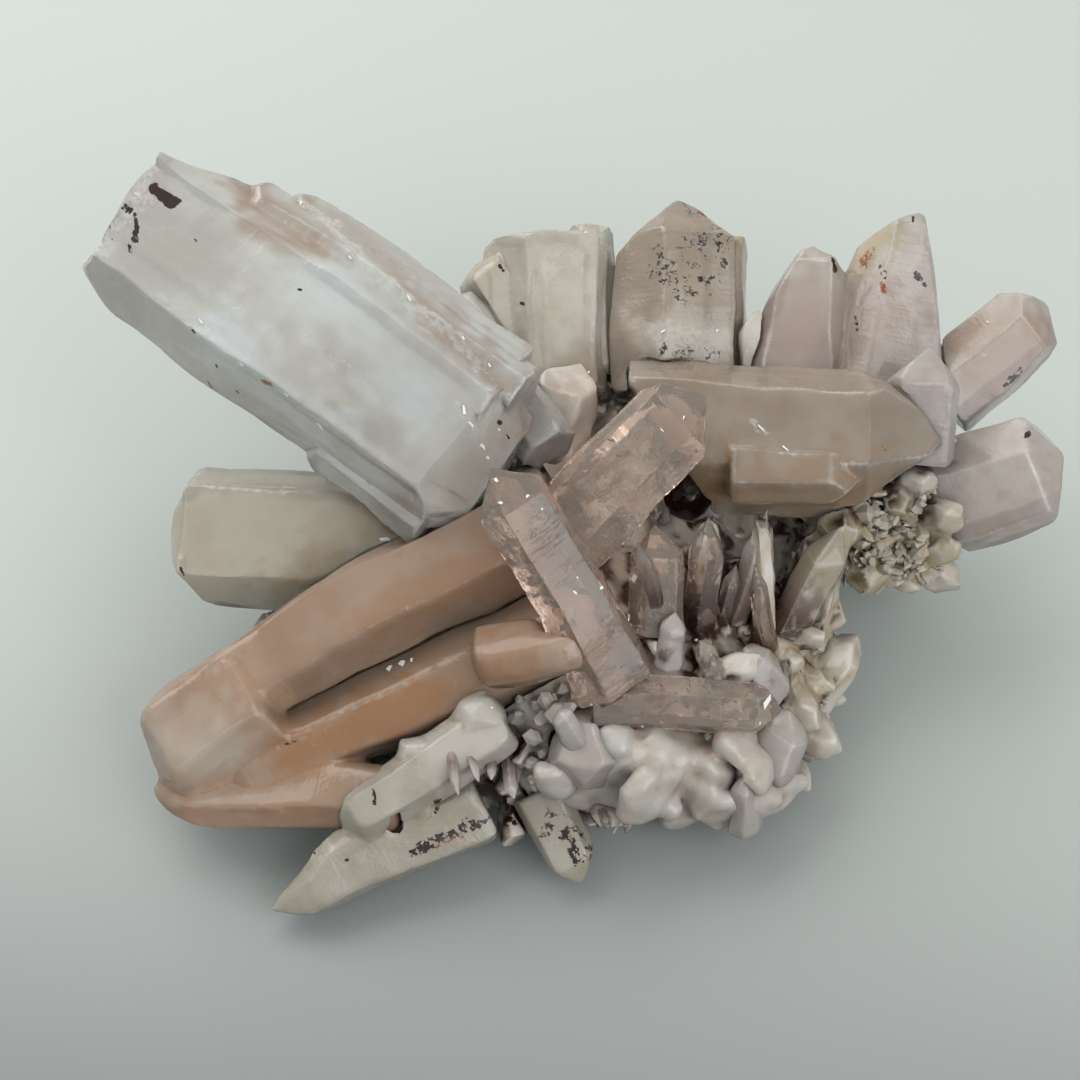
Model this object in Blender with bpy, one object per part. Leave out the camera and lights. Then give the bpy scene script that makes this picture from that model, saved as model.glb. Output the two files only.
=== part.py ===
"""A natural quartz crystal cluster, about 150 mm across, resting on the flat cut of its crystal-covered bed.

Lengths in the tables are millimetres. Each crystal is a block cut by flat planes, as a real one is bounded
by flat faces: six prism faces round its axis and six rhombohedron faces at its tip.
"""

import math
import random

import bmesh
import bpy
from mathutils import Matrix, Vector, noise

MM = 0.001

# The layout is read from one viewpoint: how far a point is seen across and up from the middle of the view,
# on the plane square to the line of sight, and how high the point stands above the table.
SIGHT_TILT = math.radians(55)
SIGHT_DISTANCE = 450
SIGHT_HEIGHT = 29.6

TO_VIEWER = Vector((0, -math.cos(SIGHT_TILT), math.sin(SIGHT_TILT)))
UP_THE_VIEW = Vector((0, math.sin(SIGHT_TILT), math.cos(SIGHT_TILT)))

# Quartz: the angle between the normals of a prism face and of the rhombohedron face above it
RHOMB_TILT = 38.2
# The hairline seam left where one crystal grew against another
SEAM = 0.3
# A crystal block starts as a cube with this many millimetres a side
BLANK = 260


def seen_at(across, up, height):
    """The point seen at (across, up) from the viewpoint and standing this high above the table."""
    centre = Vector((0, 0, SIGHT_HEIGHT))
    eye = centre + TO_VIEWER * SIGHT_DISTANCE
    ray = centre + Vector((across, 0, 0)) + UP_THE_VIEW * up - eye
    return eye + ray * ((height - eye.z) / ray.z)


def crystal(root, tip, width, depth, roll=0, **shape):
    """A crystal from root to tip. width is its size side to side as seen, and depth its size front to back."""
    start, end = (seen_at(*p) if isinstance(p, tuple) else p for p in (root, tip))
    along = (end - start).normalized()
    toward = (TO_VIEWER - along * TO_VIEWER.dot(along)).normalized()
    side = toward.cross(along)
    frame = Matrix((side, toward, along)).transposed().to_4x4()
    frame.translation = start
    return dict(frame=frame, length=(end - start).length, width=width, depth=depth, roll=roll, **shape)


def ledge(parent, side, toward, start, end, width, depth, **shape):
    """A crystal that grew parallel to its parent, beside it: a ledge or step on the parent's flank."""
    frame = parent["frame"] @ Matrix.Translation((side, toward, start))
    return dict(frame=frame, length=end - start, width=width, depth=depth, roll=parent["roll"], **shape)


def planes_of(spec, grow=0):
    """(point, outward normal) of each face of a crystal, in millimetres, all moved outwards by grow."""
    rng = random.Random(spec.get("seed", 1))
    length, roll = spec["length"], math.radians(spec["roll"])
    slope = math.radians(spec.get("slope", RHOMB_TILT))
    taper = math.radians(spec.get("taper", 1.2))
    middle = Vector((0, 0, length / 2))
    apex = Vector((*spec.get("lean", (0, 0)), length))
    planes = []
    for k in range(6):
        angle = roll + math.radians(90 + 60 * k)
        c, s = math.cos(angle), math.sin(angle)
        reach = 0.93 * math.hypot(spec["width"] / 2 * c, spec["depth"] / 2 * s)
        reach = spec["walls"][k] if "walls" in spec else reach * rng.uniform(0.92, 1.06)
        wall = Vector((c * math.cos(taper), s * math.cos(taper), math.sin(taper)))
        planes.append((middle + Vector((c, s, 0)) * reach, wall))
        # Every second tip face is small, as the minor rhombohedron's are, and a small crystal has none
        if k % 2 and spec.get("plain_tip"):
            continue
        setback = reach * (rng.uniform(0.0, 0.12) if k % 2 == 0 else rng.uniform(0.1, 0.4))
        face = Vector((c * math.cos(slope), s * math.cos(slope), math.sin(slope)))
        planes.append((apex + face * setback, face))
        if spec.get("tail"):
            under = Vector((face.x, face.y, -face.z))
            planes.append((under * setback, under))
    planes.append((Vector((0, 0, 0)), Vector((0, 0, -1))))
    # Broken or bevelled ends: a plane's normal, and how far it lies beyond the apex or, facing back, the root
    for side, toward, along, beyond in spec.get("cuts", ()):
        face = Vector((side, toward, along)).normalized()
        planes.append(((apex if along >= 0 else Vector()) + face * beyond, face))
    frame = spec["frame"]
    turn = frame.to_3x3()
    return [(frame @ (point + normal * grow), turn @ normal) for point, normal in planes]


def block(name, planes, collection):
    """An object for the convex block that the planes leave of a cube."""
    bm = bmesh.new()
    middle = sum((point for point, _ in planes), Vector()) / len(planes)
    bmesh.ops.create_cube(bm, size=BLANK * MM, matrix=Matrix.Translation(middle * MM))
    for point, normal in planes:
        everything = bm.verts[:] + bm.edges[:] + bm.faces[:]
        cut = bmesh.ops.bisect_plane(
            bm, geom=everything, dist=1e-7, plane_co=point * MM, plane_no=normal, clear_outer=True
        )
        rim = [g for g in cut["geom_cut"] if isinstance(g, bmesh.types.BMEdge)]
        if rim:
            bmesh.ops.contextual_create(bm, geom=rim)
    bmesh.ops.remove_doubles(bm, verts=bm.verts, dist=1e-6)
    bmesh.ops.recalc_face_normals(bm, faces=bm.faces)
    mesh = bpy.data.meshes.new(name)
    bm.to_mesh(mesh)
    bm.free()
    obj = bpy.data.objects.new(name, mesh)
    collection.objects.link(obj)
    return obj


def new_collection(name, helper=False):
    made = bpy.data.collections.new(name)
    bpy.context.scene.collection.children.link(made)
    made.hide_render = helper
    return made


def combine(obj, others, operation):
    """Joins or cuts obj with the other objects, and leaves the result in obj as a plain mesh."""
    if not others:
        return
    tools = new_collection("tools_for_" + obj.name, helper=True)
    for other in others:
        tools.objects.link(other)
    modifier = obj.modifiers.new("combine", "BOOLEAN")
    modifier.operand_type = "COLLECTION"
    modifier.collection = tools
    modifier.operation = operation
    modifier.solver = "EXACT"
    graph = bpy.context.evaluated_depsgraph_get()
    result = bpy.data.meshes.new_from_object(obj.evaluated_get(graph))
    obj.modifiers.clear()
    obj.data = result
    for other in others:
        bpy.data.objects.remove(other)
    bpy.data.collections.remove(tools)


def keep_largest(obj):
    """Drops the crumbs that a cut leaves loose from the main body, and welds its corners."""
    bm = bmesh.new()
    bm.from_mesh(obj.data)
    bmesh.ops.remove_doubles(bm, verts=bm.verts, dist=2e-6)
    left, bodies = set(bm.faces), []
    while left:
        stack, body = [next(iter(left))], set()
        while stack:
            face = stack.pop()
            if face in body:
                continue
            body.add(face)
            stack += [f for e in face.edges for f in e.link_faces if f not in body]
        bodies.append(body)
        left -= body
    biggest = max(bodies, key=lambda body: sum(f.calc_area() for f in body))
    loose = [f for body in bodies if body is not biggest for f in body]
    bmesh.ops.delete(bm, geom=loose, context="FACES")
    bm.to_mesh(obj.data)
    bm.free()


def ball_round(spec):
    """A loose ball round a crystal: its centre and radius."""
    middle = spec["length"] / 2
    return spec["frame"] @ Vector((0, 0, middle)), middle + max(spec["width"], spec["depth"])


def near(spec, other):
    (centre, radius), (other_centre, other_radius) = ball_round(spec), ball_round(other)
    return (centre - other_centre).length < radius + other_radius


# The crystals
great = crystal((-7.4, 10.5, 46), (-65, 51, 60), 30, 17, seed=3, taper=0, slope=80,
                walls=(8, 12.6, 12, 8.5, 13, 10.8),
                cuts=[(0.02, 0.3, 0.95, -1.2), (-0.96, 0.05, 0.27, 9.8), (0.93, 0.1, 0.34, 9.6),
                      (0.59, 0.2, -0.81, 3.6), (-0.5, 0.3, -0.8, 2.9), (0, 0.5, -0.87, -1.2)])
pink = crystal((3, 5.3, 36), (-53, -25, 18.5), 15.5, 16, roll=8, seed=5, slope=48,
               cuts=[(-0.997, 0, 0.08, 3.9)])
orange = crystal((9.5, -10.5, 27), (-46, -36.5, 11), 13.5, 13, roll=-6, seed=8, slope=60)
left = crystal((-15, -3.5, 24), (-56.4, 1, 25.5), 23, 16, roll=4, seed=7, slope=62,
               cuts=[(-0.6, 0.1, 0.8, 3), (0.75, 0.1, 0.66, 2.7), (0.1, 0.3, 0.95, -0.6)])
bar = crystal((13.5, 16.5, 38), (60.3, 15.3, 40), 21, 19, roll=-10, seed=12, taper=0.5,
              cuts=[(-0.6, 0, -0.8, -3.9)])
fan = crystal((3, 22, 36), (2, 47, 48), 17, 11, roll=10, seed=15, taper=-3, slope=80)
smoky = crystal((20.9, 22, 35), (20.9, 51.6, 50.5), 20.6, 15, roll=22, seed=18, slope=46)

NODES = {
    "great_crystal": [
        great,
        ledge(great, -12, -1, 3, 56, 8.6, 12, seed=21, slope=48),
        ledge(great, -15.2, -3, 6, 50.5, 7, 9, seed=22, slope=46),
        crystal((1.5, 13.5, 42), (-12.6, 37, 45), 9, 8, roll=8, seed=24, slope=50),
        ledge(great, 9.8, -4, 4, 26.5, 12, 10, seed=26, slope=58),
        ledge(great, -8, 1.2, 5, 30, 7, 14, seed=27, slope=40),
    ],
    "clear_point_middle": [
        crystal((11, -22, 25), (-6.4, 11.3, 57), 11.8, 10, roll=18, seed=31, taper=0.8),
    ],
    "clear_point_upper": [
        crystal((1.2, -1, 38), (24, 21.4, 54), 14, 10, roll=-12, seed=33, taper=0.5, slope=44),
    ],
    "clear_point_small": [
        crystal((16.8, -14, 28), (17.6, 2, 40), 8.2, 7, roll=6, seed=35, taper=0.5),
    ],
    "clear_point_right": [
        crystal((8, -25, 24), (37, -25.2, 25), 8, 7, roll=12, seed=38, taper=0.5),
    ],
    "bar_crystal": [
        bar,
        ledge(bar, -6, 7, 16, 36, 9, 8, seed=41),
        ledge(bar, -7, -3, 13, 37, 9, 11, seed=42),
    ],
    "wedge_crystal": [
        crystal((57, 13, 34), (59, 29.5, 48), 11, 8, roll=5, seed=44),
    ],
    "pink_crystal": [
        pink,
        orange,
        crystal((-42, -22.5, 22), (-58.6, -33.4, 13), 18, 14, roll=18, seed=51, slope=58),
        crystal((-10, -18, 30), (8, -14.8, 36), 9.6, 9, roll=16, seed=52, slope=50),
        crystal((-20, -40, 13), (-59.5, -37.4, 9.5), 10.5, 9, roll=20, seed=4),
    ],
    "white_blade": [
        crystal((-9, -40, 11), (-41.3, -55.3, 4.5), 12.5, 8, roll=-14, seed=61, slope=22, lean=(1.5, 0)),
        crystal((-6, -27, 22), (-29.5, -44.5, 12.5), 9, 8, roll=8, seed=62, slope=48),
        crystal((-18, -30, 21), (-19, -44.8, 11), 6.6, 5, roll=0, seed=64, slope=28),
        crystal((-11.5, -32, 17), (-8.2, -23.4, 27), 7.8, 7, roll=14, seed=66, slope=52),
    ],
    "left_crystal": [
        left,
        ledge(left, 4, 3, 4, 37, 9, 8, seed=71, slope=60),
    ],
    "stub_crystal": [
        crystal((17, -30, 10), (2.5, -33, 23.5), 12, 10.5, roll=10, seed=81, slope=48),
    ],
    "fan_crystal": [
        fan,
        ledge(fan, 5, -2, 4, 26.5, 10, 9, seed=91, slope=66),
        ledge(fan, -6, -2, 4, 28.4, 7, 8, seed=92, slope=66),
        crystal((5, 23, 35), (-8.8, 42, 46), 10, 9, roll=10, seed=97, slope=70),
    ],
    "smoky_crystal": [
        smoky,
        ledge(smoky, -7, -4, 4, 26, 8, 9, seed=95, slope=60),
    ],
    "peak_crystal": [
        crystal((51, 22, 32), (55.4, 49, 49.5), 17.5, 12, roll=18, seed=101, taper=12, slope=50,
                lean=(-2.4, 0), cuts=[(-0.95, 0.1, 0.3, 0.4)]),
        crystal((40, 22, 33), (41.5, 43.6, 47), 15.5, 11, roll=-6, seed=102, taper=11, slope=52,
                cuts=[(0.82, 0.1, 0.5, 1.4)]),
    ],
    "corner_crystal": [
        crystal((60, 22, 31), (76.6, 35.6, 40), 13.5, 11, roll=14, seed=105, slope=48),
    ],
    "end_crystal": [
        crystal((61, 7, 25), (79.3, 12.6, 34), 18, 15, roll=10, seed=108, slope=58),
    ],
    "marked_point": [
        crystal((-1, -38, 11), (6.4, -51.7, 4.2), 8.4, 5, roll=4, seed=111),
    ],
    "back_crystal_left": [
        crystal(Vector((-6, 16, 16)), Vector((-30, 44, 25)), 15, 13, roll=9, seed=121),
    ],
    "back_crystal_right": [
        crystal(Vector((34, 20, 16)), Vector((50, 49, 22)), 14, 12, roll=24, seed=123),
    ],
    "back_crystal_low": [
        crystal(Vector((10, 20, 12)), Vector((12, 56, 14)), 16, 12, roll=15, seed=125),
    ],
}

# The bed: lumps of massive quartz (centre, radii), crusted all over with small crystals
LUMPS = [
    ((8, -2, 6), (35, 35, 24)),
    ((52, 14, 22), (14, 14, 11)),
    ((-20, -6, 10), (20, 22, 14)),
    ((37, -11, 10), (8, 15, 14)),
    ((16, 22, 16), (34, 18, 18)),
]
LUMP_ROUGHNESS = 2.2

# Open pits in the bed: centre and radii
PITS = [
    ((22, 11, 27.5), (4.6, 5, 6)),
]

# Larger crystals of the bed's crust, which a viewer can tell apart
CRUST = [
    ((40, -15, 18), (44, 3, 31), 10, 7),
    ((25, -9, 25), (26, 4, 35.5), 4.8, 4),
    ((35, -18, 20), (33.5, 5, 36), 4.6, 4),
    ((24, -23, 22), (34, -16.5, 27), 6.5, 6),
    ((34, -36, 8), (40, -22, 20), 8, 7),
    ((32, -35, 8), (31, -34, 19), 5.4, 5),
    ((5, -32, 13), (3.5, -25.5, 22), 4.6, 4),
    ((21, -30, 8), (18, -38, 14), 9, 8),
    ((28, -30, 8), (26, -37, 15), 8, 8),
    ((14.5, -24, 19), (14, -35, 18.5), 3.4, 3),
    ((-6, -31, 16), (-5.6, -38.5, 9), 2.4, 2),
    ((-13, -33, 14), (-12, -39, 10), 1.8, 1.6),
    ((57, 7, 24), (66, 15, 34), 9.5, 8),
    ((50, 7, 24), (48, -4, 17), 5, 4),
    ((57, 4, 22), (59, -5, 17), 5, 4),
    ((0, 12, 34), (7, 27, 42), 13, 11),
    ((-4, 4, 34), (-1, 19, 40), 11, 10),
    ((10, 8, 36), (15, 20, 44), 9, 8),
    ((33.5, 22, 33), (33.5, 35.5, 43), 9, 8),
    ((-4, -33, 12), (-6.5, -39.5, 13.5), 5, 4.5),
    ((2, -35, 9), (-1, -41, 11), 5, 4.5),
]

CRUST_COUNT = 128


def make_lump(index, centre, radii, collection):
    """A boulder-like lump: a ball stretched to its radii and roughened."""
    bm = bmesh.new()
    bmesh.ops.create_icosphere(bm, subdivisions=2, radius=1)
    for v in bm.verts:
        out = Vector(a * b for a, b in zip(v.co, radii))
        rough = noise.noise(out / 9 + Vector((7 * index, 0, 0))) * LUMP_ROUGHNESS
        v.co = (Vector(centre) + out + v.co * rough) * MM
    mesh = bpy.data.meshes.new(f"lump_{index}")
    bm.to_mesh(mesh)
    bm.free()
    obj = bpy.data.objects.new(f"lump_{index}", mesh)
    collection.objects.link(obj)
    return obj


def inside(point, planes, margin=0):
    return all((point - on).dot(normal) < margin for on, normal in planes)


def crust_crystals(blockers):
    """Small crystals that stand out of the lumps wherever no large crystal covers them."""
    rng = random.Random(11)
    made = []
    while len(made) < CRUST_COUNT:
        centre, radii = rng.choice(LUMPS)
        ball = Vector((rng.gauss(0, 1), rng.gauss(0, 1), rng.gauss(0, 1))).normalized()
        point = Vector(centre) + Vector(a * b for a, b in zip(ball, radii))
        outward = Vector(a / b for a, b in zip(ball, radii)).normalized()
        lean = Vector((rng.gauss(0, 0.3), rng.gauss(0, 0.3), rng.gauss(0, 0.3)))
        direction = (outward + lean).normalized()
        width = rng.uniform(4, 8)
        length = width * rng.uniform(0.55, 1.2)
        tip = point + direction * length
        in_lump = any(
            sum(((a - c) / r) ** 2 for a, c, r in zip(tip, *other)) < 1.02 for other in LUMPS
        )
        if tip.z < 2.5 + width / 2 or point.z < 3 or in_lump:
            continue
        if any(inside(point, planes, 1) or inside(tip, planes, 1) for planes in blockers):
            continue
        if any((point - p).length < (width + w) * 0.42 for p, w in [(m[0], m[2]) for m in made]):
            continue
        made.append((point, tip, width, rng.randrange(60), rng.randrange(1000)))
    return [
        crystal(point - (tip - point) * 0.6, tip, width, width * 0.85, roll=roll, seed=seed, plain_tip=True)
        for point, tip, width, roll, seed in made
    ]


def finish_material(name, colour, roughness):
    material = bpy.data.materials.new(name)
    material.use_nodes = True
    shader = material.node_tree.nodes["Principled BSDF"]
    shader.inputs["Base Color"].default_value = (*colour, 1)
    shader.inputs["Roughness"].default_value = roughness
    shader.inputs["Metallic"].default_value = 0
    return material


COLOURS = {
    "clear": (0.86, 0.80, 0.78),
    "milky": (0.80, 0.75, 0.71),
    "pink": (0.66, 0.45, 0.36),
    "white": (0.86, 0.83, 0.76),
    "grey": (0.62, 0.53, 0.47),
    "bed": (0.72, 0.58, 0.50),
}
NODE_COLOURS = {
    "clear_point_middle": "clear", "clear_point_upper": "clear", "clear_point_small": "clear",
    "clear_point_right": "clear", "pink_crystal": "pink", "white_blade": "white",
    "bar_crystal": "grey", "smoky_crystal": "grey", "druse_bed": "bed",
}


def main():
    for obj in list(bpy.data.objects):
        bpy.data.objects.remove(obj)
    cluster = new_collection("quartz_crystal_cluster")
    placed = []
    for name, specs in NODES.items():
        node = block(name, planes_of(specs[0]), cluster)
        combine(node, [block(f"{name}_{i}", planes_of(s), cluster) for i, s in enumerate(specs[1:])], "UNION")
        cutters = [s for s in placed if any(near(s, t) for t in specs)]
        combine(node, [block("cutter", planes_of(s, SEAM), cluster) for s in cutters], "DIFFERENCE")
        keep_largest(node)
        placed += specs
    blockers = [planes_of(s) for s in placed]
    specs = [crystal(*c, roll=7 * i, seed=200 + i, plain_tip=True) for i, c in enumerate(CRUST)]
    specs += crust_crystals(blockers)
    lumps = [make_lump(i, *lump, cluster) for i, lump in enumerate(LUMPS)]
    bed = lumps[0]
    bed.name = bed.data.name = "druse_bed"
    combine(bed, lumps[1:] + [block("crust", planes_of(s), cluster) for s in specs], "UNION")
    pits = [make_lump(i, *pit, cluster) for i, pit in enumerate(PITS)]
    combine(bed, pits + [block("cutter", planes_of(s, SEAM), cluster) for s in placed], "DIFFERENCE")
    table = bmesh.new()
    bmesh.ops.create_cube(table, size=BLANK * MM, matrix=Matrix.Translation((0, 0, -BLANK * MM / 2)))
    mesh = bpy.data.meshes.new("table")
    table.to_mesh(mesh)
    table.free()
    floor = bpy.data.objects.new("table", mesh)
    cluster.objects.link(floor)
    combine(bed, [floor], "DIFFERENCE")
    keep_largest(bed)
    materials = {k: finish_material(k + "_quartz", c, 0.25) for k, c in COLOURS.items()}
    for obj in cluster.objects:
        obj.data.materials.clear()
        obj.data.materials.append(materials[NODE_COLOURS.get(obj.name, "milky")])


main()
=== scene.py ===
import math
import random

import bmesh
import bpy
import numpy as np
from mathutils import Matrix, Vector
from mathutils.bvhtree import BVHTree


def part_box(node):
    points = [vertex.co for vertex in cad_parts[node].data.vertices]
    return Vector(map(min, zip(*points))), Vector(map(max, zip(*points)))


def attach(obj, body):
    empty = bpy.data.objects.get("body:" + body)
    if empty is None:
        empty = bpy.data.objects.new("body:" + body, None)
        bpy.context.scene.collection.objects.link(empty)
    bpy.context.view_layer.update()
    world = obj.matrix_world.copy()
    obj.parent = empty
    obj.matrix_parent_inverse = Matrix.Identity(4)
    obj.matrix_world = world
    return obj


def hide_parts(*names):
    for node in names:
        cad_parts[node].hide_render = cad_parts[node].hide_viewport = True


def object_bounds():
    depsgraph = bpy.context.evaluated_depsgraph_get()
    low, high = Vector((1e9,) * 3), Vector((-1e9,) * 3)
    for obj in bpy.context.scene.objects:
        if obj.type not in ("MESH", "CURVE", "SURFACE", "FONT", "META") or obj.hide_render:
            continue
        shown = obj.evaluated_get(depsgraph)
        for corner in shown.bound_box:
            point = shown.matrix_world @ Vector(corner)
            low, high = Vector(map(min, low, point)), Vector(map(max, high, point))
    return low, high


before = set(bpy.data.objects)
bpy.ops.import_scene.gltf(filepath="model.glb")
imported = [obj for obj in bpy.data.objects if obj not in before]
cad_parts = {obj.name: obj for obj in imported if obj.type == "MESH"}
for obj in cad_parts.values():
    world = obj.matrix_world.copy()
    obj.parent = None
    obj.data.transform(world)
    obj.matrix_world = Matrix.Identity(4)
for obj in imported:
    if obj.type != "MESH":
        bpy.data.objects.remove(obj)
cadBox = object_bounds()
mm = 0.001

# Where the photograph was taken from: it looks down at the cluster from the front
photoView = {
    "elevation": 55,  # degrees above the table
    "distance": 0.45,
    "lookHeight": 0.0296,
    "frameWidth": 0.16416,  # what the frame spans at the point it looks at
    "pixels": 1080,
}


def viewAxes():
    tilt = math.radians(photoView["elevation"])
    toViewer = Vector((0, -math.cos(tilt), math.sin(tilt)))
    upward = Vector((0, math.sin(tilt), math.cos(tilt)))
    return Vector((0, 0, photoView["lookHeight"])), toViewer, upward


def sight(across, up):  # the line of sight through a point of the frame, in millimetres from its middle
    centre, toViewer, upward = viewAxes()
    eye = centre + toViewer * photoView["distance"]
    point = centre + Vector((across * mm, 0, 0)) + upward * up * mm
    return eye, (point - eye).normalized()


def seenAt(across, up, height):  # the point on that line at a height in millimetres above the table
    eye, ray = sight(across, up)
    return eye + ray * ((height * mm - eye.z) / ray.z)


def surfaceTree(objects):
    verts, faces = [], []
    for obj in objects:
        base = len(verts)
        verts += [v.co.copy() for v in obj.data.vertices]
        faces += [[base + i for i in p.vertices] for p in obj.data.polygons]
    return BVHTree.FromPolygons(verts, faces)


wholeTree = surfaceTree(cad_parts.values())


def sightOf(px, py):  # the line of sight through a pixel of the photograph
    size = photoView["frameWidth"] / photoView["pixels"] / mm
    middle = photoView["pixels"] / 2
    return sight((px - middle) * size, (middle - py) * size)


def onSurface(px, py):  # where the photograph's pixel falls on the cluster, or else on a level inside it
    eye, ray = sightOf(px, py)
    return wholeTree.ray_cast(eye, ray)[0] or eye + ray * ((20 * mm - eye.z) / ray.z)


# Node helpers

def newNode(nodes, kind, **values):
    node = nodes.new(kind)
    for key, value in values.items():
        setattr(node, key, value)
    return node


def newGroup(name, inputs, outputs):
    group = bpy.data.node_groups.new(name, "ShaderNodeTree")
    for label, kind, default in inputs:
        socket = group.interface.new_socket(label, in_out="INPUT", socket_type=kind)
        socket.default_value = default
    for label, kind in outputs:
        group.interface.new_socket(label, in_out="OUTPUT", socket_type=kind)
    nodes = group.nodes
    return group, nodes, group.links, nodes.new("NodeGroupInput"), nodes.new("NodeGroupOutput")


def math2(nodes, links, operation, first, second, clamp=False):
    node = newNode(nodes, "ShaderNodeMath", operation=operation, use_clamp=clamp)
    for socket, value in zip(node.inputs, (first, second)):
        if isinstance(value, (int, float)):
            socket.default_value = value
        else:
            links.new(value, socket)
    return node.outputs[0]


def mixColour(nodes, links, factor, first, second):
    node = newNode(nodes, "ShaderNodeMix", data_type="RGBA")
    for socket, value in zip((node.inputs[0], node.inputs[6], node.inputs[7]), (factor, first, second)):
        if isinstance(value, (int, float)):
            socket.default_value = value
        elif isinstance(value, tuple):
            socket.default_value = (*value, 1)
        else:
            links.new(value, socket)
    return node.outputs[2]


def ramp(nodes, links, value, low, high):
    node = newNode(nodes, "ShaderNodeMapRange", interpolation_type="SMOOTHSTEP")
    node.inputs["From Min"].default_value = low
    node.inputs["From Max"].default_value = high
    links.new(value, node.inputs["Value"])
    return node.outputs["Result"]


def noiseValue(nodes, links, vector, scale, detail=3, rough=0.55, distortion=0):
    node = newNode(nodes, "ShaderNodeTexNoise")
    node.inputs["Detail"].default_value = detail
    node.inputs["Roughness"].default_value = rough
    node.inputs["Distortion"].default_value = distortion
    if isinstance(scale, (int, float)):
        node.inputs["Scale"].default_value = scale
    else:
        links.new(scale, node.inputs["Scale"])
    links.new(vector, node.inputs["Vector"])
    return node.outputs["Fac"]


def makeMineralColour():  # clouds, warm thick parts, stains, rust, pale zones, painted glow on thin parts, painted shade in seams and deep hollows, white chips with painted glints, and dark grains
    colour = "NodeSocketColor"
    group, nodes, links, start, end = newGroup(
        "mineralColour",
        [("Tint", colour, (0, 0, 0, 1)), ("Veil", colour, (0, 0, 0, 1)), ("Painted Shade", "NodeSocketFloat", 0),
         ("Frost", "NodeSocketFloat", 0),
         ("Base", colour, (0.8, 0.8, 0.8, 1)), ("Cloud", colour, (1, 1, 1, 1)), ("Warm", colour, (0.6, 0.35, 0.2, 1)),
         ("Stain", colour, (0.7, 0.6, 0.3, 1)), ("Pale", colour, (0.8, 0.7, 0.6, 1)),
         ("Cloud Scale", "NodeSocketFloat", 90), ("Cloud Amount", "NodeSocketFloat", 0.5),
         ("Form", colour, (0, 0, 0, 1)), ("Glow", colour, (0.9, 0.85, 0.8, 1)), ("Glow Amount", "NodeSocketFloat", 0.5),
         ("Edge Amount", "NodeSocketFloat", 0.6)],
        [("Colour", colour)],
    )
    place = newNode(nodes, "ShaderNodeTexCoord").outputs["Object"]
    tint = newNode(nodes, "ShaderNodeSeparateColor")
    links.new(start.outputs["Tint"], tint.inputs[0])
    veil = newNode(nodes, "ShaderNodeSeparateColor")
    links.new(start.outputs["Veil"], veil.inputs[0])
    clouds = ramp(nodes, links, noiseValue(nodes, links, place, start.outputs["Cloud Scale"], 3, 0.6), 0.36, 0.66)
    amount = math2(nodes, links, "MULTIPLY", clouds, start.outputs["Cloud Amount"])
    body = mixColour(nodes, links, amount, start.outputs["Base"], start.outputs["Cloud"])
    patchy = math2(nodes, links, "ADD", math2(nodes, links, "MULTIPLY", clouds, 0.6), 0.55)
    layers = [(tint.outputs[2], "Warm"), (tint.outputs[1], "Stain"), (veil.outputs[1], "Pale")]
    for mask, label in layers:
        share = math2(nodes, links, "MULTIPLY", mask, patchy, clamp=True)
        body = mixColour(nodes, links, share, body, start.outputs[label])
    form = newNode(nodes, "ShaderNodeSeparateColor")
    links.new(start.outputs["Form"], form.inputs[0])
    # painted glow: thin parts lightened towards the glow colour, as if lit through
    glow = math2(nodes, links, "MULTIPLY", form.outputs[1], start.outputs["Glow Amount"])
    body = mixColour(nodes, links, glow, body, start.outputs["Glow"])
    # painted shade: concave seams and crystal roots pulled towards the warm colour
    body = mixColour(nodes, links, math2(nodes, links, "MULTIPLY", form.outputs[2], 0.6), body, start.outputs["Warm"])
    # painted shade: hollows and gaps darkened to near black-brown
    body = mixColour(nodes, links, start.outputs["Painted Shade"], body, (0.085, 0.032, 0.018))
    grains = noiseValue(nodes, links, place, 1300, 2, 0.7)
    # white chips along convex edges and, through the frost, in frosted patches: partly real chipping, partly painted
    # glints
    chipsAndGlints = ramp(nodes, links, math2(nodes, links, "MULTIPLY", form.outputs[0], grains), 0.16, 0.34)
    # painted highlight: every convex edge lightened towards the glow colour
    rim = math2(nodes, links, "MULTIPLY", form.outputs[0], 0.22)
    body = mixColour(nodes, links, rim, body, start.outputs["Glow"])
    chipsAndGlints = math2(nodes, links, "MULTIPLY", chipsAndGlints, math2(nodes, links, "MULTIPLY", clouds, clouds))
    sparkle = ramp(nodes, links, math2(nodes, links, "MULTIPLY", start.outputs["Frost"], grains), 0.3, 0.46)
    chipsAndGlints = math2(nodes, links, "MAXIMUM", chipsAndGlints, math2(nodes, links, "MULTIPLY", sparkle, 0.8))
    chipsAndGlints = math2(nodes, links, "MULTIPLY", chipsAndGlints, start.outputs["Edge Amount"])
    body = mixColour(nodes, links, chipsAndGlints, body, (0.93, 0.91, 0.88))
    rust = ramp(nodes, links, math2(nodes, links, "MULTIPLY", veil.outputs[2], grains), 0.34, 0.5)
    body = mixColour(nodes, links, rust, body, (0.38, 0.07, 0.015))
    marks = ramp(nodes, links, math2(nodes, links, "MULTIPLY", tint.outputs[0], grains), 0.42, 0.5)
    body = mixColour(nodes, links, marks, body, (0.028, 0.010, 0.009))
    links.new(body, end.inputs["Colour"])
    return group


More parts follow.
